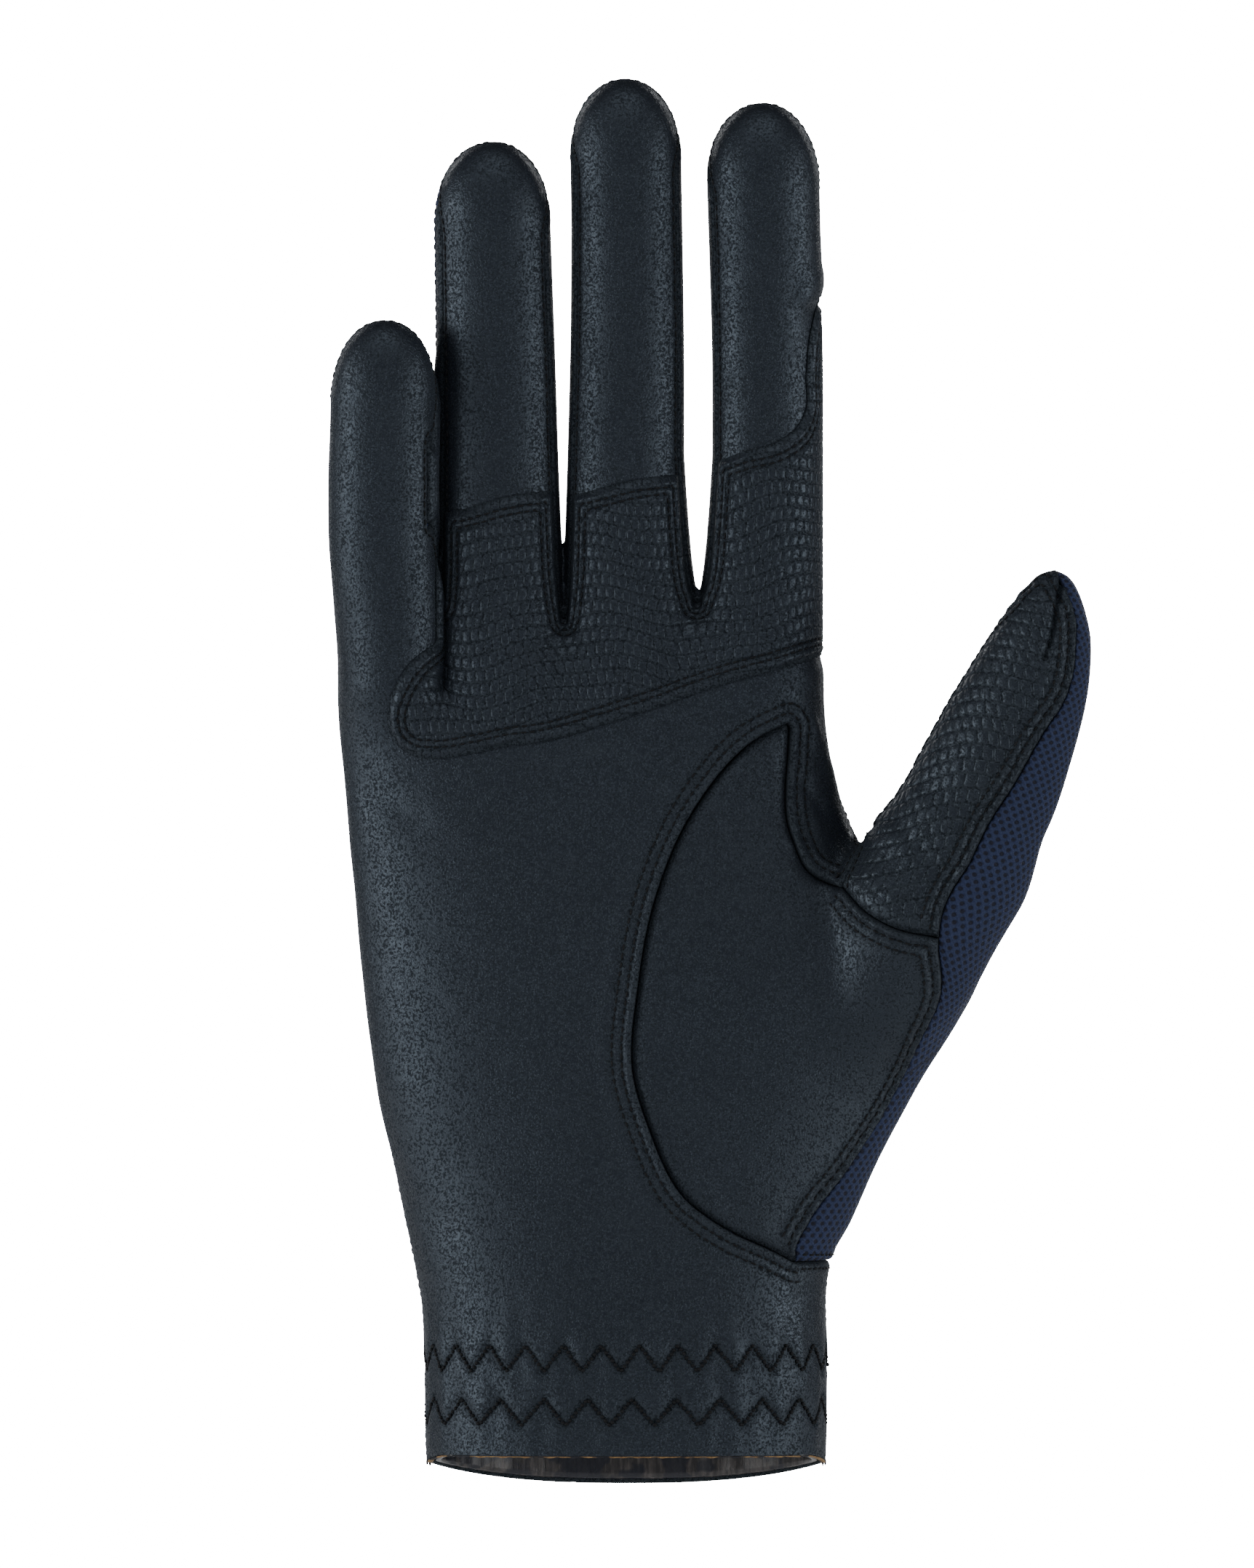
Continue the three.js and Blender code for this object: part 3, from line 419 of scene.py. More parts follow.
def palm_at(z):
    up = z / KNUCKLES
    spread = PALM["spread"](up)
    left = mix(-CUFF_WIDTH / 2, KNUCKLE_LEFT, spread)
    bulge = PALM["ball"](up) * BALL_REACH
    right = mix(CUFF_WIDTH / 2, KNUCKLE_RIGHT, spread) + bulge
    depth = mix(mix(CUFF_DEPTH, HEEL_DEPTH, PALM["heel"](up)), KNUCKLE_DEPTH, PALM["thin"](up))
    return left, right, depth / 2, bulge


def palm_field(x, y, z):
    left, right, b, _ = palm_at(z)
    a = (right - left) / 2
    u = x - (left + right) / 2
    ratio = (np.abs(u / a) ** PALM_ROUNDNESS + np.abs(y / b) ** PALM_ROUNDNESS) ** (1 / PALM_ROUNDNESS)
    return radial(ratio, np.hypot(u, y), b)


def thumb_at(along):
    turn = np.radians(THUMB["turn"](along))
    root = THUMB["root"](along)
    a = THUMB["wide"](along) * mix(JOINT_SIZE[0], ROOT_SIZE[0], root)
    b = THUMB["deep"](along) * mix(JOINT_SIZE[1], ROOT_SIZE[1], root)
    return (THUMB["x"](along) * THUMB_TIP[0], -THUMB["forward"](along) * THUMB_FORWARD,
            THUMB["up"](along) * THUMB_TIP[1], turn, a, b)


def thumb_place(x, z):
    """How far along the thumb a place lies: the section through it."""
    x0, _, z0 = thumb_at(0.0)[:3]
    x1, _, z1 = thumb_at(1.0)[:3]
    span = (x1 - x0) ** 2 + (z1 - z0) ** 2
    along = np.clip(((x - x0) * (x1 - x0) + (z - z0) * (z1 - z0)) / span, 0, 1)
    for _ in range(4):
        turn = np.radians(THUMB["turn"](along))
        ahead = (x - THUMB["x"](along) * THUMB_TIP[0]) * np.sin(turn)
        ahead = ahead + (z - THUMB["up"](along) * THUMB_TIP[1]) * np.cos(turn)
        along = np.clip(along + ahead / math.sqrt(span), 0, 1)
    return along


def thumb_field(x, y, z):
    along = thumb_place(x, z)
    cx, cy, cz, turn, a, b = thumb_at(along)
    u = (x - cx) * np.cos(turn) - (z - cz) * np.sin(turn)
    ahead = (x - cx) * np.sin(turn) + (z - cz) * np.cos(turn)
    v = y - cy
    ratio = (np.abs(u / a) ** THUMB_ROUNDNESS + np.abs(v / b) ** THUMB_ROUNDNESS) ** (1 / THUMB_ROUNDNESS)
    side = radial(ratio, np.hypot(u, v), b)
    return np.where(np.abs(ahead) > 1e-3, np.hypot(np.maximum(side, 0), ahead) + np.minimum(side, 0), side)


WEB_BLEND = 7.0
GAP_BLEND = 0.7
CROTCH_BLEND = 3.0


def fingers_field(x, y, z):
    fingers = finger_field(HAND[0], x, y, z)
    for web, finger in zip(HAND_WEBS, HAND[1:]):
        blend = mix(WEB_BLEND, GAP_BLEND, smooth((z - web["height"] + 7) / 8))
        fingers = smooth_min(fingers, finger_field(finger, x, y, z), blend)
    return fingers


def hand_field(x, y, z):
    """Distance to the glove's outside, negative inside it. Far from a part, that part isn't worked out."""
    share = smooth((z - KNUCKLES + 15) / 16)
    body = np.zeros(len(x))
    low = share < 1
    body[low] = (1 - share[low]) * palm_field(x[low], y[low], z[low])
    high = share > 0
    body[high] += share[high] * fingers_field(x[high], y[high], z[high])
    near = (x > 18) & (z > 45) & (z < 162)
    body[near] = smooth_min(body[near], thumb_field(x[near], y[near], z[near]), CROTCH_BLEND)
    return body


def hem_height(y):
    back = np.clip(2 * y / CUFF_DEPTH, 0, 1)
    ahead = np.clip(-2 * y / CUFF_DEPTH, 0, 1)
    rise = HEM_SIDE_SHARE * (1 - back * back) + (1 - HEM_SIDE_SHARE) * np.minimum(1, 2 * ahead)
    return HEM_RISE * rise - HEM_DROP


def field_gradient(points, step=0.05):
    """Direction in which the field grows."""
    grad = np.empty_like(points)
    for k in range(3):
        offset = np.zeros(3)
        offset[k] = step
        grad[:, k] = (hand_field(*(points + offset).T) - hand_field(*(points - offset).T)) / (2 * step)
    return grad


# Meshes from the form
RELAX_SHARE = 0.6
# A point this near to a cut, as a share of its edge, is moved onto it
SNAP_SHARE = 0.15
# Boxes that hold the whole glove and the grip patch
GLOVE_LOW = (-53.0, -25.0, -4.0)
GLOVE_HIGH = (81.0, 22.0, 239.0)
PATCH_LOW = (-44.0, -18.0, 119.0)
PATCH_HIGH = (38.0, 9.0, 206.0)


def surface_net(low, high, step, field):
    """Four-sided faces on the surface where a field is 0, as points and faces that point out."""
    count = np.ceil((np.array(high) - low) / step).astype(int)
    axes = [low[k] + step * np.arange(count[k]) for k in range(3)]
    grid = np.meshgrid(*axes, indexing="ij")
    values = field(*[g.ravel() for g in grid]).reshape(count)
    inside = values < 0
    corners = [(i, j, k) for i in (0, 1) for j in (0, 1) for k in (0, 1)]
    cells = [inside[i:count[0] - 1 + i, j:count[1] - 1 + j, k:count[2] - 1 + k] for i, j, k in corners]
    filled = sum(c.astype(np.int8) for c in cells)
    active = (filled > 0) & (filled < 8)
    place = np.argwhere(active)
    number = np.full(active.shape, -1)
    number[active] = np.arange(len(place))
    total = np.zeros((len(place), 3))
    crossings = np.zeros(len(place))
    for a in corners:
        for k in range(3):
            if a[k] == 0:
                b = tuple(a[m] + (m == k) for m in range(3))
                va = values[tuple((place + a).T)]
                vb = values[tuple((place + b).T)]
                cut = (va < 0) != (vb < 0)
                t = np.where(cut, va / np.where(cut, va - vb, 1), 0)
                total += cut[:, None] * (np.array(a) + t[:, None] * (np.array(b) - a))
                crossings += cut
    points = np.array(low) + step * (place + total / crossings[:, None])
    faces = []
    for k in range(3):
        i, j = (k + 1) % 3, (k + 2) % 3
        a = np.take(inside, range(count[k] - 1), axis=k)
        b = np.take(inside, range(1, count[k]), axis=k)
        edges = np.argwhere(a != b)
        low_enough = (edges[:, i] < count[i] - 1) & (edges[:, j] < count[j] - 1)
        edges = edges[(edges[:, i] > 0) & (edges[:, j] > 0) & low_enough]
        around = []
        for di, dj in ((-1, -1), (0, -1), (0, 0), (-1, 0)):
            cell = edges.copy()
            cell[:, i] += di
            cell[:, j] += dj
            around.append(number[tuple(cell.T)])
        quad = np.stack(around, axis=1)
        outward = a[tuple(edges.T)]
        quad[~outward] = quad[~outward][:, ::-1]
        faces.append(quad)
    return points, np.vstack(faces)


def pull_to_surface(points, rounds=2):
    for _ in range(rounds):
        grad = field_gradient(points)
        size = np.maximum((grad**2).sum(1), 0.05)
        move = (hand_field(*points.T) / size)[:, None] * grad
        length = np.linalg.norm(move, axis=1)
        points = points - move * np.minimum(1, 0.5 / np.maximum(length, 1e-9))[:, None]
    return points


def relax(points, faces, rounds):
    """Evens out the points of a surface without leaving it."""
    edges = np.vstack([faces[:, [k, (k + 1) % faces.shape[1]]] for k in range(faces.shape[1])])
    a = np.concatenate([edges[:, 0], edges[:, 1]])
    b = np.concatenate([edges[:, 1], edges[:, 0]])
    count = np.bincount(a, minlength=len(points))[:, None]
    for _ in range(rounds):
        total = [np.bincount(a, weights=points[b, k], minlength=len(points)) for k in range(3)]
        points = mix(points, np.stack(total, axis=1) / np.maximum(count, 1), RELAX_SHARE)
        points = pull_to_surface(points, 1)
    return points


def unique_edges(tris, count):
    """Both ends of every edge, lower number first."""
    a = tris.ravel().astype(np.int64)
    b = np.roll(tris, -1, axis=1).ravel().astype(np.int64)
    codes = np.unique(np.minimum(a, b) * count + np.maximum(a, b))
    return codes // count, codes % count


def split_edges(points, tris, fields, name, level=0.0):
    """Cuts triangles along the line where a field has a level, so that edges follow it."""
    value = fields[name] - level
    a, b = unique_edges(tris, len(points))
    cut = (value[a] * value[b] < 0) & (np.abs(value[a] - value[b]) < 4)
    t = value[a] / np.where(cut, value[a] - value[b], 1)
    for end, other, share in ((a, b, t), (b, a, 1 - t)):
        near = cut & (share < SNAP_SHARE)
        moved, first = np.unique(end[near], return_index=True)
        s = share[near][first][:, None]
        target = other[near][first]
        points[moved] = mix(points[moved], points[target], s)
        for key in fields:
            fields[key][moved] = mix(fields[key][moved], fields[key][target], s[:, 0])
        fields[name][moved] = level
    value = fields[name] - level
    cut = cut & (value[a] * value[b] < 0)
    a, b = a[cut], b[cut]
    t = value[a] / (value[a] - value[b])
    added = len(points) + np.arange(len(a))
    points = np.vstack([points, mix(points[a], points[b], t[:, None])])
    for key in fields:
        fields[key] = np.concatenate([fields[key], mix(fields[key][a], fields[key][b], t)])
    fields[name][added] = level
    codes = a.astype(np.int64) * len(points) + b
    order = np.argsort(codes)
    codes = codes[order]
    added = added[order]

    def middle(p, q):
        if not len(codes):
            return np.full(len(p), -1)
        code = np.minimum(p, q).astype(np.int64) * len(points) + np.maximum(p, q)
        at = np.clip(np.searchsorted(codes, code), 0, len(codes) - 1)
        return np.where(codes[at] == code, added[at], -1)

    mids = np.stack([middle(tris[:, k], tris[:, (k + 1) % 3]) for k in range(3)], axis=1)
    cuts = (mids >= 0).sum(1)
    out = [tris[cuts == 0]]
    for k in range(3):
        v0, v1, v2 = (np.roll(tris, -k, axis=1)[:, m] for m in range(3))
        m0, m1, _ = (np.roll(mids, -k, axis=1)[:, m] for m in range(3))
        one = (cuts == 1) & (m0 >= 0)
        out.append(np.stack([v0, m0, v2], 1)[one])
        out.append(np.stack([m0, v1, v2], 1)[one])
        two = (cuts == 2) & (m0 >= 0) & (m1 >= 0)
        out.append(np.stack([m0, v1, m1], 1)[two])
        out.append(np.stack([v0, m0, m1], 1)[two])
        out.append(np.stack([v0, m1, v2], 1)[two])
    return points, np.vstack(out), fields


def compact(points, tris, fields):
    """Leaves out points that no triangle uses."""
    used, flat = np.unique(tris, return_inverse=True)
    return points[used], flat.reshape(tris.shape), {key: value[used] for key, value in fields.items()}


# Seams on the form
def on_palm(u, v, ball=0):
    z = mix(CUFF_TOP, KNUCKLES, v)
    left, right, _, bulge = palm_at(np.array([z]))
    return float((mix(left, right - bulge, u) + ball * bulge)[0]), z


def on_thumb(u, along):
    cx, _, cz, turn, a, _ = (float(value) for value in thumb_at(np.array(along)))
    return cx + u * a * math.cos(turn), cz - u * a * math.sin(turn)


def thumb_seam_line():
    rows = [on_thumb(*row) for row in THUMB_SEAM] + [on_palm(*row) for row in THUMB_SEAM_FOOT]
    top = np.array(rows[0])
    ahead = top - rows[1]
    start = top + 5 * ahead / np.linalg.norm(ahead)
    return smooth_line([start, *rows])


THUMB_LINE = thumb_seam_line()
CORNER = on_thumb(*THUMB_ROOT_SEAM[0])
CROTCH_AT = on_thumb(*CROTCH)
FAR = 100.0


def ball_outline():
    """Outline of the panel over the ball of the thumb. Its right side runs out past the thumb's own seam."""
    inner = smooth_line([on_palm(*row) for row in BALL_SEAM])
    back = smooth_line([*(on_palm(*row) for row in BALL_SEAM_RETURN), CORNER])
    root = smooth_line([on_thumb(*row) for row in THUMB_ROOT_SEAM])
    right = [(FAR, root[-1][1]), (FAR, inner[0][1])]
    return np.vstack([inner, back[1:], root[1:], right])


def thumb_outline():
    """Outline of the panel on the thumb's front, past the thumb's own seam on the right."""
    root = smooth_line([on_thumb(*row) for row in THUMB_ROOT_SEAM])
    inner = [(CROTCH_AT[0], 2 * FAR), CROTCH_AT]
    return np.vstack([inner, root, [(FAR, root[-1][1]), (FAR, 2 * FAR)]])


PATCH_TOP = KNUCKLES + PATCH_UPPER["index"][7][1] * HAND[3]["length"] - 1.5


def patch_outline():
    """Outline of the grip patch: its lower edge, then finger by finger."""
    outline = [smooth_line([(mix(KNUCKLE_LEFT, KNUCKLE_RIGHT, u), up * KNUCKLES) for u, up in PATCH_LOWER])]
    for finger in HAND[1:]:
        edge = [(finger["x"] + u * finger["width"] / 2, KNUCKLES + up * finger["length"])
                for u, up in PATCH_UPPER[finger["name"]]]
        between = finger["x"] - (finger["width"] + finger["left_web"]["gap"]) / 2
        if finger["name"] == "ring":
            outline.append([(between, PATCH_CORNER * KNUCKLES)])
        outline += [[(between, edge[0][1] - 1)], smooth_line(edge)]
    return np.vstack(outline)


TAPER_START = 1.15
TAPER_END = 0.45
MEET_BELOW = 5.0
MEET_RUN = 6.0


def seam_taper(finger, z):
    return 1 - smooth((z - finger["tip"] + TAPER_START * FINGERTIP) / ((TAPER_START - TAPER_END) * FINGERTIP))


def seam_depths(x, z):
    """Depths at which the front leather ends and the back begins. Between them lies a fourchette."""
    axes = []
    for finger in HAND:
        cx, cy, _, _ = finger_at(finger, z)
        axes.append((np.where(z > KNUCKLES, cx, finger["x"]), cy, seam_taper(finger, z)))
    x0, y0, taper0 = axes[0]
    outer = np.where(z < KNUCKLES, 0, y0) + WRAP_BACK * taper0
    ahead = outer.copy()
    behind = outer.copy()
    for i, web in enumerate(HAND_WEBS):
        xl, yl, tl = axes[i]
        xr, yr, tr = axes[i + 1]
        gap = max(web["gap"], 2.0)
        middle = HAND[i]["x"] + (HAND[i]["width"] + web["gap"]) / 2
        share = np.clip((x - middle) / gap + 0.5, 0, 1)
        strip = (x > xl) & (x <= xr)
        half = FOURCHETTE_WIDTH / 2
        ahead = np.where(strip, mix(yl - half * tl, yr - half * tr, share), ahead)
        behind = np.where(strip, mix(yl + half * tl, yr + half * tr, share), behind)
    x3, y3, taper3 = axes[3]
    index = y3 + WRAP_BACK * taper3
    row_heights = [row[2] * THUMB_TIP[1] for row in THUMB_ROWS]
    along = np.clip(np.interp(z, row_heights, [row[0] for row in THUMB_ROWS]), 0, 1)
    thumb_y = -THUMB["forward"](along) * THUMB_FORWARD
    meet = THUMB_TIP[1] - MEET_BELOW
    thumb_y = thumb_y + THUMB_SEAM_BACK * (1 - smooth((z - meet + MEET_RUN) / MEET_RUN))
    start = KNUCKLE_RIGHT + 2
    across = np.clip((x - start) / (CROTCH_AT[0] + 2 - start), 0, 1)
    side = np.where(z > THUMB_TIP[1] + 2, index, mix(index, thumb_y, across))
    right = x > x3
    ahead = np.where(right, side, ahead)
    behind = np.where(right, side, behind)
    low = (z < KNUCKLES) & (x < -CUFF_WIDTH / 4)
    cuff = (z < CUFF_TOP) & (x > CUFF_WIDTH / 4)
    flat = low | cuff
    return np.where(flat, WRAP_BACK, ahead), np.where(flat, WRAP_BACK, behind)


PANELS = ("palm_panel", "thumb_base_panel", "thumb_grip_panel", "back_panel", "cuff_back_panel",
          "fourchette_little_ring", "fourchette_ring_middle", "fourchette_middle_index")
PALM_PART, BASE_PART, GRIP_PART, BACK_PART, CUFF_PART, FIRST_FOURCHETTE = range(6)
# Which profile a panel has along its seam with another
SEAM_KINDS = {
    (PALM_PART, BASE_PART): "lap_over",
    (BASE_PART, PALM_PART): "lap_under",
    (PALM_PART, GRIP_PART): "turned",
    (GRIP_PART, PALM_PART): "turned",
    (BASE_PART, GRIP_PART): "ridge",
    (GRIP_PART, BASE_PART): "lap_under",
    (BASE_PART, BACK_PART): "ridge",
    (GRIP_PART, BACK_PART): "ridge",
    (BACK_PART, BASE_PART): "mesh_edge",
    (BACK_PART, GRIP_PART): "mesh_edge",
    (CUFF_PART, BACK_PART): "turned",
    (BACK_PART, CUFF_PART): "mesh_edge",
}


def cut_into_panels():
    """The glove's outside as triangles with a panel number each."""
    points, quads = surface_net(GLOVE_LOW, GLOVE_HIGH, sizes().mesh_step / MM, hand_field)
    points = relax(points, quads, 5)
    points = pull_to_surface(points, 2)
    tris = np.vstack([quads[:, [0, 1, 2]], quads[:, [0, 2, 3]]])
    x, y, z = points.T
    ahead, behind = seam_depths(x, z)
    fields = {
        "hem": z - hem_height(y),
        "front": y - ahead,
        "back": y - behind,
        "thumb": line_distance(THUMB_LINE, x, z),
        "cuff": z - CUFF_TOP,
        "ball": outline_distance(ball_outline(), x, z),
        "grip": outline_distance(thumb_outline(), x, z),
    }
    for name in list(fields):
        points, tris, fields = split_edges(points, tris, fields, name)
    centre = points[tris].mean(1)
    mean = {name: value[tris].mean(1) for name, value in fields.items()}
    label = np.full(len(tris), BACK_PART)
    right_of_thumb_seam = mean["thumb"] > 0
    ahead = mean["front"] < 0
    label[ahead & ~right_of_thumb_seam] = PALM_PART
    front = ahead & ~right_of_thumb_seam & (mean["cuff"] > 0)
    label[front & (mean["ball"] < 0)] = BASE_PART
    label[front & (mean["grip"] < 0)] = GRIP_PART
    low = mean["cuff"] < 0
    label[low] = np.where(mean["front"] < 0, PALM_PART, CUFF_PART)[low]
    between = (mean["front"] > 0) & (mean["back"] < 0) & (centre[:, 2] > KNUCKLES - 10)
    for i in range(len(HAND_WEBS)):
        xl = finger_at(HAND[i], centre[:, 2])[0]
        xr = finger_at(HAND[i + 1], centre[:, 2])[0]
        label[between & (centre[:, 0] > xl) & (centre[:, 0] < xr)] = FIRST_FOURCHETTE + i
    keep = mean["hem"] > 0
    points, tris, fields = compact(points, tris[keep], fields)
    return pull_to_surface_inside(points, fields), tris, label[keep]


def pull_to_surface_inside(points, fields):
    """Pulls points back to the surface, apart from those on the hem's cut, which stay level."""
    moved = pull_to_surface(points, 2)
    at_hem = np.abs(fields["hem"]) < 1e-6
    moved[at_hem, 2] = points[at_hem, 2]
    return moved


def coded_edges(tris, count):
    """All sides of the triangles, with a number for each that is the same in both directions."""
    edges = np.vstack([tris[:, [0, 1]], tris[:, [1, 2]], tris[:, [2, 0]]])
    return edges, edges.min(axis=1).astype(np.int64) * count + edges.max(axis=1)


def edge_labels(tris, label, count):
    """Edges between two panels, as point pairs with the two panel numbers."""
    edges, code = coded_edges(tris, count)
    owner = np.tile(label, 3)
    order = np.argsort(code, kind="stable")
    code, edges, owner = code[order], edges[order], owner[order]
    same = np.concatenate([code[1:] == code[:-1], [False]])
    pair = np.flatnonzero(same)
    differs = owner[pair] != owner[pair + 1]
    return [(edges[i], owner[i], owner[i + 1]) for i in pair[differs]]


def chains(edges):
    """Edges, given as point pairs, put together as lines."""
    links = {}
    for a, b in edges:
        links.setdefault(int(a), []).append(int(b))
        links.setdefault(int(b), []).append(int(a))
    unused = {(min(int(a), int(b)), max(int(a), int(b))) for a, b in edges}
    starts = sorted(links, key=lambda v: (len(links[v]) == 2, v))
    lines = []
    for start in starts:
        while True:
            options = [v for v in links[start] if (min(start, v), max(start, v)) in unused]
            if not options:
                break
            line = [start]
            here = start
            while True:
                options = [v for v in links[here] if (min(here, v), max(here, v)) in unused]
                if not options or (len(line) > 1 and len(links[here]) != 2):
                    break
                unused.discard((min(here, options[0]), max(here, options[0])))
                here = options[0]
                line.append(here)
            lines.append(line)
    return lines


class Seams:
    """Sampled seam lines of one panel: how far a point lies from them, from which one and where along it."""

    def __init__(self, points, seams, part):
        groups = {}
        for edge, p, q in seams:
            if part in (p, q):
                groups.setdefault(q if p == part else p, []).append(edge)
        samples = []
        self.other = []
        self.along = []
        for other, edges in sorted(groups.items()):
            for line in chains(edges):
                where = points[line]
                length = np.concatenate([[0], np.cumsum(np.linalg.norm(np.diff(where, axis=0), axis=1))])
                at = np.linspace(0, length[-1], max(2, int(length[-1] / 0.2)))
                samples.append(np.stack([np.interp(at, length, where[:, k]) for k in range(3)], axis=1))
                self.other += [other] * len(at)
                self.along += list(at)
        samples = np.vstack(samples)
        self.other = np.array(self.other)
        self.along = np.array(self.along)
        self.tree = KDTree(len(samples))
        for i, sample in enumerate(samples):
            self.tree.insert(sample, i)
        self.tree.balance()

    def nearest(self, points):
        found = [self.tree.find(p) for p in points]
        at = np.array([f[1] for f in found])
        return np.array([f[2] for f in found]), self.other[at], self.along[at]


# Relief of the leather
# The two elastic zigzag rows: height of their middle, width of one zigzag and where it starts
ZIGZAG_HEIGHT = 4.4
ZIGZAGS = ((21.3, 6.5, -1.0), (12.3, 7.5, 4.7))
FOLDS = (
    ((31.0, 128.0), (38.5, 113.0), 0.45, 1.3),
    ((34.5, 123.0), (41.5, 109.5), -0.4, 1.2),
    ((29.5, 118.0), (37.5, 107.0), -0.35, 1.1),
    ((27.5, 108.0), (34.0, 103.5), 0.3, 1.2),
    ((45.0, 112.0), (54.0, 101.0), -0.35, 1.5),
    ((47.5, 117.0), (58.0, 104.0), 0.3, 1.4),
    ((-47.0, 118.0), (-36.0, 112.0), -0.25, 2.4),
    ((8.0, 62.0), (20.0, 44.0), -0.2, 2.2),
    ((-44.0, 52.0), (-30.0, 44.0), -0.2, 2.6),
)


def cuff_section():
    """Points round the front of the cuff's section, their length from its middle and their direction."""
    t = np.linspace(-np.pi, np.pi, 1441)
    x = CUFF_WIDTH / 2 * np.sign(np.sin(t)) * np.abs(np.sin(t)) ** (2 / PALM_ROUNDNESS)
    y = -CUFF_DEPTH / 2 * np.sign(np.cos(t)) * np.abs(np.cos(t)) ** (2 / PALM_ROUNDNESS)
    length = np.concatenate([[0], np.cumsum(np.hypot(np.diff(x), np.diff(y)))])
    return x, y, length - length[len(t) // 2], np.arctan2(x / CUFF_WIDTH, -y / CUFF_DEPTH)


def zigzag_at(around, row):
    """Height of a zigzag row round the cuff."""
    middle, pitch, start = row
    share = np.mod((around - start) / pitch, 1.0)
    return middle + ZIGZAG_HEIGHT * (0.5 - np.abs(2 * share - 1))


def cuff_relief(points):
    """Soft gathers that the zigzag rows draw in the leather of the cuff, and the rows' own grooves."""
    x, y, z = points.T
    _, _, length, direction = cuff_section()
    around = np.interp(np.arctan2(x / CUFF_WIDTH, -y / CUFF_DEPTH), direction, length)
    height = np.zeros(len(z))
    ahead = smooth((4 - y) / 2)
    for row in ZIGZAGS:
        middle, pitch, start = row
        slope = pitch / 2 / math.hypot(pitch / 2, ZIGZAG_HEIGHT)
        distance = np.abs(z - zigzag_at(around, row)) * slope
        near = bell(z - middle, 5.5)
        height += ahead * (0.16 * near - 0.42 * bell(distance, 0.55) * (np.abs(z - middle) < 4))
        height += ahead * 0.13 * near * np.cos(2 * np.pi * (around - start) / pitch)
    band = smooth((z - 3) / 5) * (1 - smooth((z - 24) / 9))
    return height + 0.06 * band * np.sin(2 * np.pi * around / 4.3 + 0.6 * np.sin(z / 3.1))


def zigzag_shade(points):
    """How near a point of the cuff's front is to a zigzag row, as a mask of painted shade along the rows."""
    x, y, z = points.T
    _, _, length, direction = cuff_section()
    around = np.interp(np.arctan2(x / CUFF_WIDTH, -y / CUFF_DEPTH), direction, length)
    mark = np.zeros(len(z))
    for row in ZIGZAGS:
        middle, pitch, _ = row
        slope = pitch / 2 / math.hypot(pitch / 2, ZIGZAG_HEIGHT)
        distance = np.abs(z - zigzag_at(around, row)) * slope
        mark = np.maximum(mark, bell(distance, 0.7) * (np.abs(z - middle) < 4) * (y < WRAP_BACK))
    return mark


def leather_relief(points):
    """Folds and slow unevenness of the worn leather."""
    x, y, z = points.T
    height = 0.10 * np.sin(x / 7.3 + 1.7 * np.sin(z / 15.1)) * np.sin(z / 9.7 + 0.8 * np.sin(x / 11.3))
    height += 0.05 * np.sin(x / 2.9 + z / 4.7) * np.sin(z / 3.8 - y / 3.1)
    ahead = smooth(-y / 3)
    for start, end, amount, width in FOLDS:
        line = smooth_line([start, end])
        distance = np.abs(line_distance(line, x, z))
        height += amount * bell(distance, width) * ahead
    return height + cuff_relief(points)


def dart_relief(points):
    distance = np.abs(line_distance(smooth_line(THUMB_DART), points[:, 0], points[:, 2]))
    return -0.9 * bell(distance, 0.45) + 0.3 * bell(distance - 1.1, 0.55)


def seam_relief(part, distance, other, along):
    """Height of the leather beside its seams."""
    height = np.zeros(len(distance))
    for q in np.unique(other):
        kind = SEAM_KINDS.get((part, int(q)), "turned")
        rows = PROFILES[kind]
        here = other == q
        profile = smooth_curve(*zip(*rows))
        d = distance[here]
        pucker = 0.0
        if kind == "ridge":
            pucker = 0.16 * np.sin(2 * np.pi * along[here] / 3.1) * bell(d - 1.6, 1.3)
        elif kind in ("turned", "lap_over"):
            pucker = 0.05 * np.sin(2 * np.pi * along[here] / 2.1) * bell(d - 1.2, 0.8)
        height[here] = np.where(d < rows[-1][0], profile(d), 0) + pucker
    return height


def point_normals(points, tris):
    face = np.cross(points[tris[:, 1]] - points[tris[:, 0]], points[tris[:, 2]] - points[tris[:, 0]])
    normal = np.zeros_like(points)
    for k in range(3):
        for m in range(3):
            normal[:, m] += np.bincount(tris[:, k], weights=face[:, m], minlength=len(points))
    return normal / np.maximum(np.linalg.norm(normal, axis=1), 1e-12)[:, None]


def border_edges(tris, count):
    """Edges that only one triangle has, in that triangle's direction."""
    edges, code = coded_edges(tris, count)
    _, first, times = np.unique(code, return_index=True, return_counts=True)
    return edges[first[times == 1]]


def pull_back(points, tris, amount):
    """Moves a panel's edge back from its seam."""
    edges = border_edges(tris, len(points))
    toward = np.zeros_like(points)
    count = np.zeros(len(points))
    border = np.zeros(len(points), bool)
    border[edges] = True
    for k in range(3):
        a = tris[:, k]
        for m in (1, 2):
            b = tris[:, (k + m) % 3]
            use = border[a] & ~border[b]
            np.add.at(toward, a[use], points[b[use]] - points[a[use]])
            np.add.at(count, a[use], 1)
    along = np.zeros_like(points)
    np.add.at(along, edges[:, 0], points[edges[:, 1]] - points[edges[:, 0]])
    np.add.at(along, edges[:, 1], points[edges[:, 1]] - points[edges[:, 0]])
    along /= np.maximum(np.linalg.norm(along, axis=1), 1e-9)[:, None]
    toward -= (toward * along).sum(1)[:, None] * along
    length = np.linalg.norm(toward, axis=1)
    use = border & (count > 0) & (length > 1e-6)
    moved = points.copy()
    moved[use] += toward[use] / length[use][:, None] * amount
    return moved


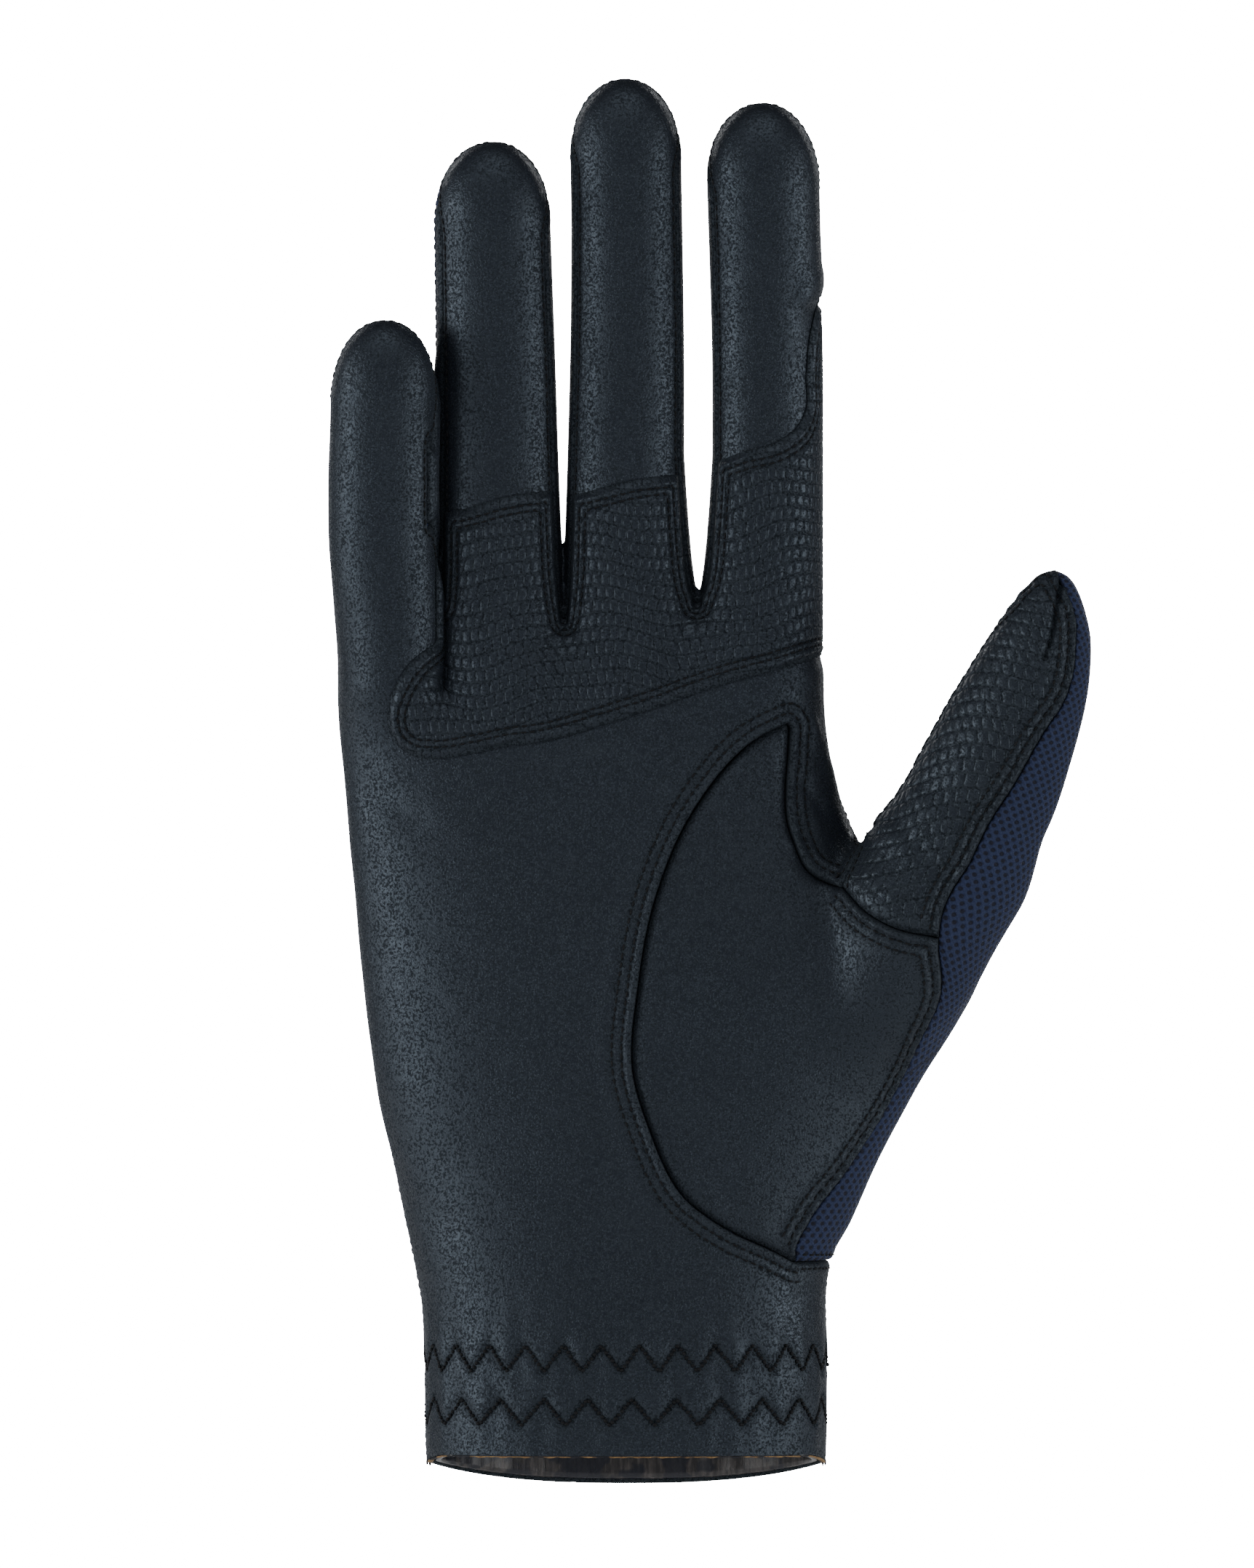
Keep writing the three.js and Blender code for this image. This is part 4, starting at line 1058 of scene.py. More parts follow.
def closed_shell(outer, inner, tris):
    """A closed wall between two surfaces that have the same triangles."""
    count = len(outer)
    edges = border_edges(tris, count)
    a, b = edges.T
    rim = np.vstack([np.stack([b, a, a + count], 1), np.stack([b, a + count, b + count], 1)])
    return np.vstack([outer, inner]), np.vstack([tris, tris[:, ::-1] + count, rim])


def make_mesh(name, points, faces, material, attributes=None, uv=None):
    """A mesh object at the origin, from points in millimetres."""
    mesh = bpy.data.meshes.new(name)
    mesh.from_pydata((points * MM).tolist(), [], faces.tolist())
    mesh.polygons.foreach_set("use_smooth", np.ones(len(mesh.polygons), bool))
    for key, values in (attributes or {}).items():
        mesh.attributes.new(key, "FLOAT", "POINT").data.foreach_set("value", values.astype(np.float32))
    if uv is not None:
        corners = np.empty(len(mesh.loops), np.int32)
        mesh.loops.foreach_get("vertex_index", corners)
        layer = mesh.uv_layers.new(name="Surface")
        layer.data.foreach_set("uv", uv[corners].astype(np.float32).ravel())
    mesh.materials.append(material)
    mesh.update()
    piece = bpy.data.objects.new(name, mesh)
    bpy.context.scene.collection.objects.link(piece)
    return piece


def settle(piece, slot, *nodes):
    """Says what a finished piece rides on and which solids it stands for. slot is not used."""
    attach(piece, "root")
    if nodes:
        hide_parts(*nodes)
    return piece


# Surface coordinates for patterns, in millimetres
ARC_FLATTEST = 0.15
ARC_DEEPEST = 1.6


def arc_table():
    """Length round a rounded oval from the middle of its front, for some ratios of its depth to its width."""
    ratios = np.linspace(ARC_FLATTEST, ARC_DEEPEST, 30)
    angles = np.linspace(0, np.pi / 2, 65)
    t = np.linspace(0, np.pi / 2, 200)
    px = np.sin(t) ** 0.8
    py = np.clip(np.cos(t), 0, 1) ** 0.8
    rows = []
    for ratio in ratios:
        length = np.concatenate([[0], np.cumsum(np.hypot(np.diff(px), ratio * np.diff(py)))])
        rows.append(np.interp(angles, np.arctan2(px, py), length))
    return ratios, angles, np.array(rows)


ARC_RATIOS, ARC_ANGLES, ARC_LENGTHS = arc_table()


def arc_across(u, v, a, b):
    """Length round an oval section from the middle of its front or back."""
    angle = np.arctan2(np.abs(u) / a, np.abs(v) / b) / (np.pi / 2) * (len(ARC_ANGLES) - 1)
    ratio = (np.clip(b / a, ARC_FLATTEST, ARC_DEEPEST) - ARC_FLATTEST) / (ARC_DEEPEST - ARC_FLATTEST)
    ratio = ratio * (len(ARC_RATIOS) - 1)
    i = np.clip(angle.astype(int), 0, len(ARC_ANGLES) - 2)
    j = np.clip(ratio.astype(int), 0, len(ARC_RATIOS) - 2)
    low = mix(ARC_LENGTHS[j, i], ARC_LENGTHS[j, i + 1], angle - i)
    high = mix(ARC_LENGTHS[j + 1, i], ARC_LENGTHS[j + 1, i + 1], angle - i)
    return np.sign(u) * a * mix(low, high, ratio - j)


def surface_coordinates(points):
    """Coordinates that follow the sides of fingers and thumb round, so that patterns aren't drawn out."""
    x, y, z = points.T
    left, right, depth, _ = palm_at(np.minimum(z, KNUCKLES))
    middle = (left + right) / 2
    across = middle + arc_across(x - middle, y, (right - left) / 2, depth)
    across = mix(across, x, smooth((z - KNUCKLES + 15) / 15))
    for finger in HAND:
        cx, cy, a, b = finger_at(finger, z)
        reach = a + 2.5
        here = (np.abs(x - cx) < reach) & (z > KNUCKLES - 5)
        share = smooth((z - KNUCKLES + 5) / 20)
        round_it = cx + arc_across(x - cx, y - cy, a, b)
        across = np.where(here, mix(x, round_it, share), across)
    distance = thumb_field(x, y, z)
    on = (np.abs(distance) < 1.0) & (x > 36)
    along = thumb_place(x, z)
    cx, cy, cz, turn, a, b = thumb_at(along)
    u = (x - cx) * np.cos(turn) - (z - cz) * np.sin(turn)
    across = np.where(on, 60 + arc_across(u, y - cy, a, b), across)
    return np.stack([across, np.where(on, 60 + along * 100, z)], axis=1)


def scale_coordinates(points, thumb=False):
    """Coordinates of the embossed scales: wavy rows in scale widths and heights."""
    flat = surface_coordinates(points)
    u = flat[:, 0]
    v = flat[:, 1]
    if thumb:
        slant = 0.68 * u + 0.26 * v
        v = 0.76 * v - 0.3 * u + 1.2 * np.sin(u / 5.3 + v / 17)
        u = slant
    else:
        v = v + 1.5 * np.sin(u / 6.2 + 0.6 * np.sin(v / 13)) + 0.5 * np.sin(u / 2.7 + v / 8) - 0.06 * u
    u = u + 0.7 * np.sin(v / 7) + 0.25 * np.sin(v / 2.9 + u / 4)
    return np.stack([u / (sizes().scale_width / MM), v / (sizes().scale_height / MM)], axis=1)


def scale_height(uv):
    """Height of the embossed scales, from 0 in the grooves to 1."""
    row = np.floor(uv[:, 1])
    u = uv[:, 0] + 0.5 * np.mod(row, 2)
    fu = np.abs(u - np.floor(u) - 0.5) * 2
    fv = np.abs(uv[:, 1] - row - 0.5) * 2
    edge = (fu**5 + fv**5) ** (1 / 5)
    return 1 - smooth((edge - 0.72) / 0.26)


# Materials
def socket(tree, name, kind, default=None, output=False):
    made = tree.interface.new_socket(name=name, in_out="OUTPUT" if output else "INPUT", socket_type=kind)
    if default is not None:
        made.default_value = default
    return made


class Nodes:
    """Short calls for building a node tree."""

    def __init__(self, tree):
        self.tree = tree

    def add(self, kind, **settings):
        node = self.tree.nodes.new(kind)
        for key, value in settings.items():
            setattr(node, key, value)
        return node

    def link(self, start, end):
        self.tree.links.new(start, end)

    def fill(self, target, value):
        if isinstance(value, bpy.types.NodeSocket):
            self.link(value, target)
        else:
            target.default_value = value

    def math(self, operation, a, b=None, c=None, clamp=False):
        node = self.add("ShaderNodeMath", operation=operation, use_clamp=clamp)
        for target, value in zip(node.inputs, (a, b, c)):
            if value is not None:
                self.fill(target, value)
        return node.outputs[0]

    def ramp(self, value, low, high, to_low=0.0, to_high=1.0):
        node = self.add("ShaderNodeMapRange", interpolation_type="SMOOTHSTEP")
        for target, item in zip(node.inputs, (value, low, high, to_low, to_high)):
            self.fill(target, item)
        return node.outputs[0]

    def noise(self, vector, scale, detail=2.0, roughness=0.5):
        node = self.add("ShaderNodeTexNoise")
        self.link(vector, node.inputs["Vector"])
        self.fill(node.inputs["Scale"], scale)
        node.inputs["Detail"].default_value = detail
        node.inputs["Roughness"].default_value = roughness
        return node.outputs["Fac"]

    def cells(self, vector, scale):
        node = self.add("ShaderNodeTexVoronoi")
        self.link(vector, node.inputs["Vector"])
        self.fill(node.inputs["Scale"], scale)
        return node.outputs["Distance"]

    def blend(self, share, a, b):
        node = self.add("ShaderNodeMix", data_type="RGBA")
        self.fill(node.inputs[0], share)
        self.fill(node.inputs[6], a)
        self.fill(node.inputs[7], b)
        return node.outputs[2]


def grain_group():
    """Leather grain: fine pebbles, pores and slow tone, on object coordinates. Pores is also the mask of the
    painted shade in the pores.
    """
    name = "Leather Grain"
    if name in bpy.data.node_groups:
        return bpy.data.node_groups[name]
    tree = bpy.data.node_groups.new(name, "ShaderNodeTree")
    socket(tree, "Pebbles per Metre", "NodeSocketFloat", 1500.0)
    socket(tree, "Pore Depth", "NodeSocketFloat", 0.6)
    for output in ("Height", "Pores", "Tone"):
        socket(tree, output, "NodeSocketFloat", output=True)
    n = Nodes(tree)
    given = n.add("NodeGroupInput")
    result = n.add("NodeGroupOutput")
    place = n.add("ShaderNodeTexCoord").outputs["Object"]
    scale = given.outputs["Pebbles per Metre"]
    wobble = n.add("ShaderNodeTexNoise")
    n.link(place, wobble.inputs["Vector"])
    n.link(n.math("MULTIPLY", scale, 0.8), wobble.inputs["Scale"])
    shifted = n.add("ShaderNodeVectorMath", operation="MULTIPLY_ADD")
    n.link(wobble.outputs["Color"], shifted.inputs[0])
    shifted.inputs[1].default_value = (0.00028,) * 3
    n.link(place, shifted.inputs[2])
    pebbles = n.cells(shifted.outputs[0], scale)
    pore_noise = n.noise(shifted.outputs[0], n.math("MULTIPLY", scale, 0.8), 1.0)
    patches = n.noise(place, n.math("MULTIPLY", scale, 0.12), 3.0)
    pored = n.ramp(patches, 0.25, 0.5, 0.45, 1.0)
    pores = n.math("MULTIPLY", n.ramp(pore_noise, 0.47, 0.40), pored, clamp=True)
    fine = n.noise(place, n.math("MULTIPLY", scale, 2.6), 2.0, 0.6)
    crown = n.ramp(pebbles, 0.62, 0.1)
    height = n.math("ADD", crown, n.math("MULTIPLY", fine, 0.35))
    height = n.math("SUBTRACT", height, n.math("MULTIPLY", pores, given.outputs["Pore Depth"]))
    tone = n.noise(place, 42.0, 3.0, 0.55)
    n.link(height, result.inputs["Height"])
    n.link(pores, result.inputs["Pores"])
    n.link(tone, result.inputs["Tone"])
    return tree


def new_material(name):
    material = bpy.data.materials.new(name)
    material.use_nodes = True
    n = Nodes(material.node_tree)
    shader = material.node_tree.nodes["Principled BSDF"]
    return material, n, shader


def rgba(colour):
    return (*colour, 1.0)


def leather_material(name="Leather", worn=1.0, rough=0.40, relief=None):
    """Soft-grained dark leather. relief is a height that is added to the grain, such as embossed scales. worn
    scales the highlight painted on the grain's crowns.
    """
    if name in bpy.data.materials:
        return bpy.data.materials[name]
    material, n, shader = new_material(name)
    tint = colours()
    grain = n.add("ShaderNodeGroup")
    grain.node_tree = grain_group()
    grain.inputs["Pebbles per Metre"].default_value = 3000.0
    grain.inputs["Pore Depth"].default_value = 0.9
    height = grain.outputs["Height"]
    pores = grain.outputs["Pores"]
    tone = grain.outputs["Tone"]
    # The seam attribute is a mask of painted shade: near black in seam grooves, along stitch rows and
    # zigzags, beside the thumb's dart and on all inner walls
    seam = n.add("ShaderNodeAttribute", attribute_name="seam").outputs["Fac"]
    # lit paints the grain's crowns paler where the slow tone is high: a painted highlight over a real patchy
    # tone, scaled by worn
    lit = n.math("MULTIPLY", n.ramp(tone, 0.35, 0.7), n.ramp(height, 0.5, 1.15))
    colour = n.blend(n.math("MULTIPLY", lit, 0.75 * worn), rgba(tint.leather), rgba(tint.leather_crown_highlight))
    # Painted shade: the pores are painted near black
    colour = n.blend(n.math("MULTIPLY", pores, 0.65), colour, (0.002, 0.003, 0.004, 1.0))
    colour = n.blend(n.math("MULTIPLY", seam, 0.75), colour, (0.003, 0.0045, 0.006, 1.0))
    rough_map = n.math("ADD", n.math("MULTIPLY", tone, 0.12), rough - 0.06)
    rough_map = n.math("ADD", rough_map, n.math("MULTIPLY", seam, 0.3))
    rough_map = n.math("ADD", rough_map, n.math("MULTIPLY", pores, 0.4), clamp=True)
    bump = n.add("ShaderNodeBump")
    bump.inputs["Strength"].default_value = 0.5
    bump.inputs["Distance"].default_value = 0.0001
    if relief is None:
        n.link(height, bump.inputs["Height"])
    else:
        raised, groove = relief(n)
        n.link(n.math("MULTIPLY_ADD", raised, 1.6, n.math("MULTIPLY", height, 0.45)), bump.inputs["Height"])
        # Painted shade: the grooves between the scales are painted near black
        colour = n.blend(n.math("MULTIPLY", groove, 0.75), colour, (0.0022, 0.0034, 0.005, 1.0))
        rough_map = n.math("ADD", rough_map, n.math("MULTIPLY", groove, 0.2), clamp=True)
    grazing = n.add("ShaderNodeLayerWeight").outputs["Facing"]
    rough_map = n.math("ADD", rough_map, n.ramp(grazing, 0.5, 0.9, 0.0, 0.4), clamp=True)
    n.link(colour, shader.inputs["Base Color"])
    n.link(rough_map, shader.inputs["Roughness"])
    n.link(bump.outputs["Normal"], shader.inputs["Normal"])
    shader.inputs["Specular IOR Level"].default_value = 0.54
    shader.inputs["Specular Tint"].default_value = (0.68, 0.84, 1.0, 1.0)
    return material


def scale_group():
    """Embossed scales in staggered rows, on the piece's own surface coordinates."""
    name = "Embossed Scales"
    if name in bpy.data.node_groups:
        return bpy.data.node_groups[name]
    tree = bpy.data.node_groups.new(name, "ShaderNodeTree")
    socket(tree, "Softness", "NodeSocketFloat", 0.22)
    for output in ("Raised", "Groove"):
        socket(tree, output, "NodeSocketFloat", output=True)
    n = Nodes(tree)
    given = n.add("NodeGroupInput")
    result = n.add("NodeGroupOutput")
    place = n.add("ShaderNodeUVMap", uv_map="Surface").outputs["UV"]
    split = n.add("ShaderNodeSeparateXYZ")
    n.link(place, split.inputs[0])
    row = n.math("FLOOR", split.outputs[1])
    shift = n.math("MULTIPLY", n.math("FLOORED_MODULO", row, 2.0), 0.5)
    across = n.math("FRACT", n.math("ADD", split.outputs[0], shift))
    upward = n.math("FRACT", split.outputs[1])
    fu = n.math("MULTIPLY", n.math("ABSOLUTE", n.math("SUBTRACT", across, 0.5)), 2.0)
    fv = n.math("MULTIPLY", n.math("ABSOLUTE", n.math("SUBTRACT", upward, 0.5)), 2.0)
    total = n.math("ADD", n.math("POWER", fu, 5.0), n.math("POWER", fv, 5.0))
    edge = n.math("POWER", total, 1 / 5)
    inner = n.math("SUBTRACT", 0.95, given.outputs["Softness"])
    raised = n.ramp(edge, 0.95, inner)
    n.link(raised, result.inputs["Raised"])
    # Groove is the mask by which the leather paints shade into the grooves between the scales
    n.link(n.ramp(edge, 0.8, 0.95), result.inputs["Groove"])
    return tree


def embossed(n):
    scales = n.add("ShaderNodeGroup")
    scales.node_tree = scale_group()
    return scales.outputs["Raised"], scales.outputs["Groove"]


def grip_material():
    # worn=1.1 paints the highlight on the grain's crowns a little stronger
    return leather_material("Grip Leather", worn=1.1, rough=0.43, relief=embossed)


def knit_material():
    """Navy knit with small staggered holes, painted dark as painted shade, on the piece's own surface
    coordinates.
    """
    name = "Knit Mesh"
    if name in bpy.data.materials:
        return bpy.data.materials[name]
    material, n, shader = new_material(name)
    tint = colours()
    place = n.add("ShaderNodeUVMap", uv_map="Surface").outputs["UV"]
    pitch = sizes().knit_pitch / MM
    split = n.add("ShaderNodeSeparateXYZ")
    n.link(place, split.inputs[0])
    across = n.math("DIVIDE", split.outputs[0], pitch)
    upward = n.math("DIVIDE", split.outputs[1], pitch * 0.56)
    row = n.math("FLOOR", upward)
    shift = n.math("MULTIPLY", n.math("FLOORED_MODULO", row, 2.0), 0.5)
    fu = n.math("SUBTRACT", n.math("FRACT", n.math("ADD", across, shift)), 0.5)
    fv = n.math("MULTIPLY", n.math("SUBTRACT", n.math("FRACT", upward), 0.5), 0.7)
    distance = n.math("SQRT", n.math("ADD", n.math("MULTIPLY", fu, fu), n.math("MULTIPLY", fv, fv)))
    hole = n.ramp(distance, 0.31, 0.19)
    yarn = n.math("SINE", n.math("MULTIPLY", across, 4 * math.pi))
    strand = n.math("SINE", n.math("MULTIPLY", upward, 3 * math.pi))
    texture = n.math("MULTIPLY_ADD", n.math("MULTIPLY", yarn, strand), 0.25, n.ramp(distance, 0.15, 0.42))
    obj = n.add("ShaderNodeTexCoord").outputs["Object"]
    fuzz = n.noise(obj, 2600.0, 3.0, 0.6)
    tone = n.noise(obj, 60.0, 3.0, 0.5)
    # Paler specks where the fuzz noise is high: partly a random yarn tone, partly a painted highlight
    base = n.blend(n.math("MULTIPLY", fuzz, 0.5), rgba(tint.knit), (0.028, 0.043, 0.105, 1.0))
    base = n.blend(n.math("MULTIPLY", tone, 0.35), base, (0.008, 0.013, 0.04, 1.0))
    # Painted shade: the knit's holes are painted dark
    colour = n.blend(hole, base, rgba(tint.knit_hole))
    n.link(colour, shader.inputs["Base Color"])
    n.link(n.math("MULTIPLY_ADD", fuzz, 0.2, 0.68), shader.inputs["Roughness"])
    shader.inputs["Specular IOR Level"].default_value = 0.3
    shader.inputs["Sheen Weight"].default_value = 0.04
    shader.inputs["Sheen Roughness"].default_value = 0.4
    bump = n.add("ShaderNodeBump")
    bump.inputs["Strength"].default_value = 0.8
    bump.inputs["Distance"].default_value = 0.00025
    n.link(n.math("ADD", texture, n.math("MULTIPLY", fuzz, 0.3)), bump.inputs["Height"])
    n.link(bump.outputs["Normal"], shader.inputs["Normal"])
    return material


def facing_material():
    """Shiny greyish-brown facing with upright brush marks, and navy where the leather shows through."""
    name = "Facing"
    if name in bpy.data.materials:
        return bpy.data.materials[name]
    material, n, shader = new_material(name)
    tint = colours()
    place = n.add("ShaderNodeTexCoord").outputs["Object"]
    drawn = n.add("ShaderNodeMapping")
    drawn.inputs["Scale"].default_value = (1.0, 1.0, 0.12)
    n.link(place, drawn.inputs["Vector"])
    brushed = n.noise(drawn.outputs[0], 1500.0, 3.0, 0.6)
    patches = n.ramp(n.noise(place, 150.0, 3.0), 0.47, 0.53)
    colour = n.blend(n.ramp(brushed, 0.35, 0.7), rgba(tint.facing), (0.085, 0.076, 0.074, 1.0))
    colour = n.blend(n.math("MULTIPLY", patches, 0.85), colour, (0.007, 0.010, 0.020, 1.0))
    n.link(colour, shader.inputs["Base Color"])
    n.link(n.math("MULTIPLY_ADD", brushed, 0.25, 0.25), shader.inputs["Roughness"])
    bump = n.add("ShaderNodeBump")
    bump.inputs["Strength"].default_value = 0.4
    bump.inputs["Distance"].default_value = 0.0002
    n.link(brushed, bump.inputs["Height"])
    n.link(bump.outputs["Normal"], shader.inputs["Normal"])
    return material


def thread_material():
    """Twisted sewing thread."""
    name = "Thread"
    if name in bpy.data.materials:
        return bpy.data.materials[name]
    material, n, shader = new_material(name)
    place = n.add("ShaderNodeTexCoord").outputs["Object"]
    twist = n.noise(place, 5200.0, 2.0, 0.5)
    colour = n.blend(n.ramp(twist, 0.4, 0.65), rgba(colours().thread), (0.005, 0.0065, 0.009, 1.0))
    n.link(colour, shader.inputs["Base Color"])
    n.link(n.math("MULTIPLY_ADD", twist, 0.2, 0.6), shader.inputs["Roughness"])
    shader.inputs["Specular IOR Level"].default_value = 0.25
    return material


def raw_edge_material():
    """Cut edge of the hem: pale leather fibres."""
    name = "Raw Edge"
    if name in bpy.data.materials:
        return bpy.data.materials[name]
    material, n, shader = new_material(name)
    place = n.add("ShaderNodeTexCoord").outputs["Object"]
    fibres = n.noise(place, 2400.0, 3.0, 0.6)
    patches = n.noise(place, 260.0, 2.0)
    colour = n.blend(n.ramp(fibres, 0.35, 0.65), rgba(colours().raw_edge), (0.18, 0.10, 0.045, 1.0))
    colour = n.blend(n.ramp(patches, 0.5, 0.6), colour, (0.012, 0.013, 0.018, 1.0))
    n.link(colour, shader.inputs["Base Color"])
    shader.inputs["Roughness"].default_value = 0.8
    return material


# Stitches by Geometry Nodes
def stitch_tree():
    """Resamples lines and lays a thread stitch at each point, along the line and on the leather."""
    name = "Stitch Rows"
    if name in bpy.data.node_groups:
        return bpy.data.node_groups[name]
    tree = bpy.data.node_groups.new(name, "GeometryNodeTree")
    socket(tree, "Geometry", "NodeSocketGeometry")
    socket(tree, "Pitch", "NodeSocketFloat", 0.002)
    socket(tree, "Stitch Length", "NodeSocketFloat", 0.0016)
    socket(tree, "Thread", "NodeSocketFloat", 0.00034)
    socket(tree, "Seed", "NodeSocketInt", 7)
    socket(tree, "Material", "NodeSocketMaterial")
    socket(tree, "Geometry", "NodeSocketGeometry", output=True)
    n = Nodes(tree)
    given = n.add("NodeGroupInput")
    result = n.add("NodeGroupOutput")
    curve = n.add("GeometryNodeMeshToCurve")
    n.link(given.outputs["Geometry"], curve.inputs[0])
    spaced = n.add("GeometryNodeResampleCurve", mode="LENGTH")
    n.link(curve.outputs[0], spaced.inputs["Curve"])
    n.link(given.outputs["Pitch"], spaced.inputs["Length"])
    up = n.add("GeometryNodeInputNamedAttribute", data_type="FLOAT_VECTOR")
    up.inputs["Name"].default_value = "up"
    tangent = n.add("GeometryNodeInputTangent")
    lengthwise = n.add("FunctionNodeAlignRotationToVector", axis="X")
    n.link(tangent.outputs[0], lengthwise.inputs["Vector"])
    upright = n.add("FunctionNodeAlignRotationToVector", axis="Z", pivot_axis="X")
    n.link(lengthwise.outputs[0], upright.inputs["Rotation"])
    n.link(up.outputs[0], upright.inputs["Vector"])
    stitch = n.add("GeometryNodeMeshUVSphere")
    stitch.inputs["Segments"].default_value = 6
    stitch.inputs["Rings"].default_value = 5
    stitch.inputs["Radius"].default_value = 0.5
    size = n.add("ShaderNodeCombineXYZ")
    jitter = n.add("FunctionNodeRandomValue", data_type="FLOAT")
    jitter.inputs[2].default_value = 0.9
    jitter.inputs[3].default_value = 1.1
    n.link(given.outputs["Seed"], jitter.inputs["Seed"])
    n.link(n.math("MULTIPLY", given.outputs["Stitch Length"], jitter.outputs[1]), size.inputs[0])
    n.link(given.outputs["Thread"], size.inputs[1])
    n.link(given.outputs["Thread"], size.inputs[2])
    placed = n.add("GeometryNodeInstanceOnPoints")
    n.link(spaced.outputs[0], placed.inputs["Points"])
    n.link(stitch.outputs["Mesh"], placed.inputs["Instance"])
    n.link(upright.outputs[0], placed.inputs["Rotation"])
    n.link(size.outputs[0], placed.inputs["Scale"])
    real = n.add("GeometryNodeRealizeInstances")
    n.link(placed.outputs[0], real.inputs[0])
    shaded = n.add("GeometryNodeSetShadeSmooth")
    n.link(real.outputs[0], shaded.inputs[0])
    painted = n.add("GeometryNodeSetMaterial")
    n.link(shaded.outputs[0], painted.inputs[0])
    n.link(given.outputs["Material"], painted.inputs["Material"])
    n.link(painted.outputs[0], result.inputs[0])
    return tree


def sew(name, lines, pitch, length, thread, seed=7):
    """A mesh of stitches along lines, each given as points and their normals in millimetres."""
    points = np.vstack([line for line, _ in lines])
    normals = np.vstack([normal for _, normal in lines])
    edges = []
    start = 0
    for line, _ in lines:
        edges += [(start + i, start + i + 1) for i in range(len(line) - 1)]
        start += len(line)
    guide = bpy.data.meshes.new(name + "_guide")
    guide.from_pydata((points * MM).tolist(), edges, [])
    up = guide.attributes.new("up", "FLOAT_VECTOR", "POINT")
    up.data.foreach_set("vector", normals.astype(np.float32).ravel())
    holder = bpy.data.objects.new(name + "_guide", guide)
    bpy.context.scene.collection.objects.link(holder)
    modifier = holder.modifiers.new("Stitches", "NODES")
    tree = stitch_tree()
    modifier.node_group = tree
    values = {"Pitch": pitch, "Stitch Length": length, "Thread": thread, "Seed": seed,
              "Material": thread_material()}
    for item in tree.interface.items_tree:
        if item.in_out == "INPUT" and item.name in values:
            modifier[item.identifier] = values[item.name]
    evaluated = holder.evaluated_get(bpy.context.evaluated_depsgraph_get())
    mesh = bpy.data.meshes.new_from_object(evaluated)
    mesh.name = name
    piece = bpy.data.objects.new(name, mesh)
    bpy.context.scene.collection.objects.link(piece)
    bpy.data.objects.remove(holder)
    return piece


# Lines that the panels and the patch leave to be sewn, as points and their normals in millimetres
stitch_lines = []
# The strip between little and ring finger bulges where the two fingers touch
BULGE = 0.75
BULGE_LOW = 150
BULGE_HIGH = 184
# The leather above the grip patch's end on the index finger's side stands out as far as the patch
INDEX_FILL = 0.9
THREAD_ABOVE = 0.06
SHORTEST_ROW = 6


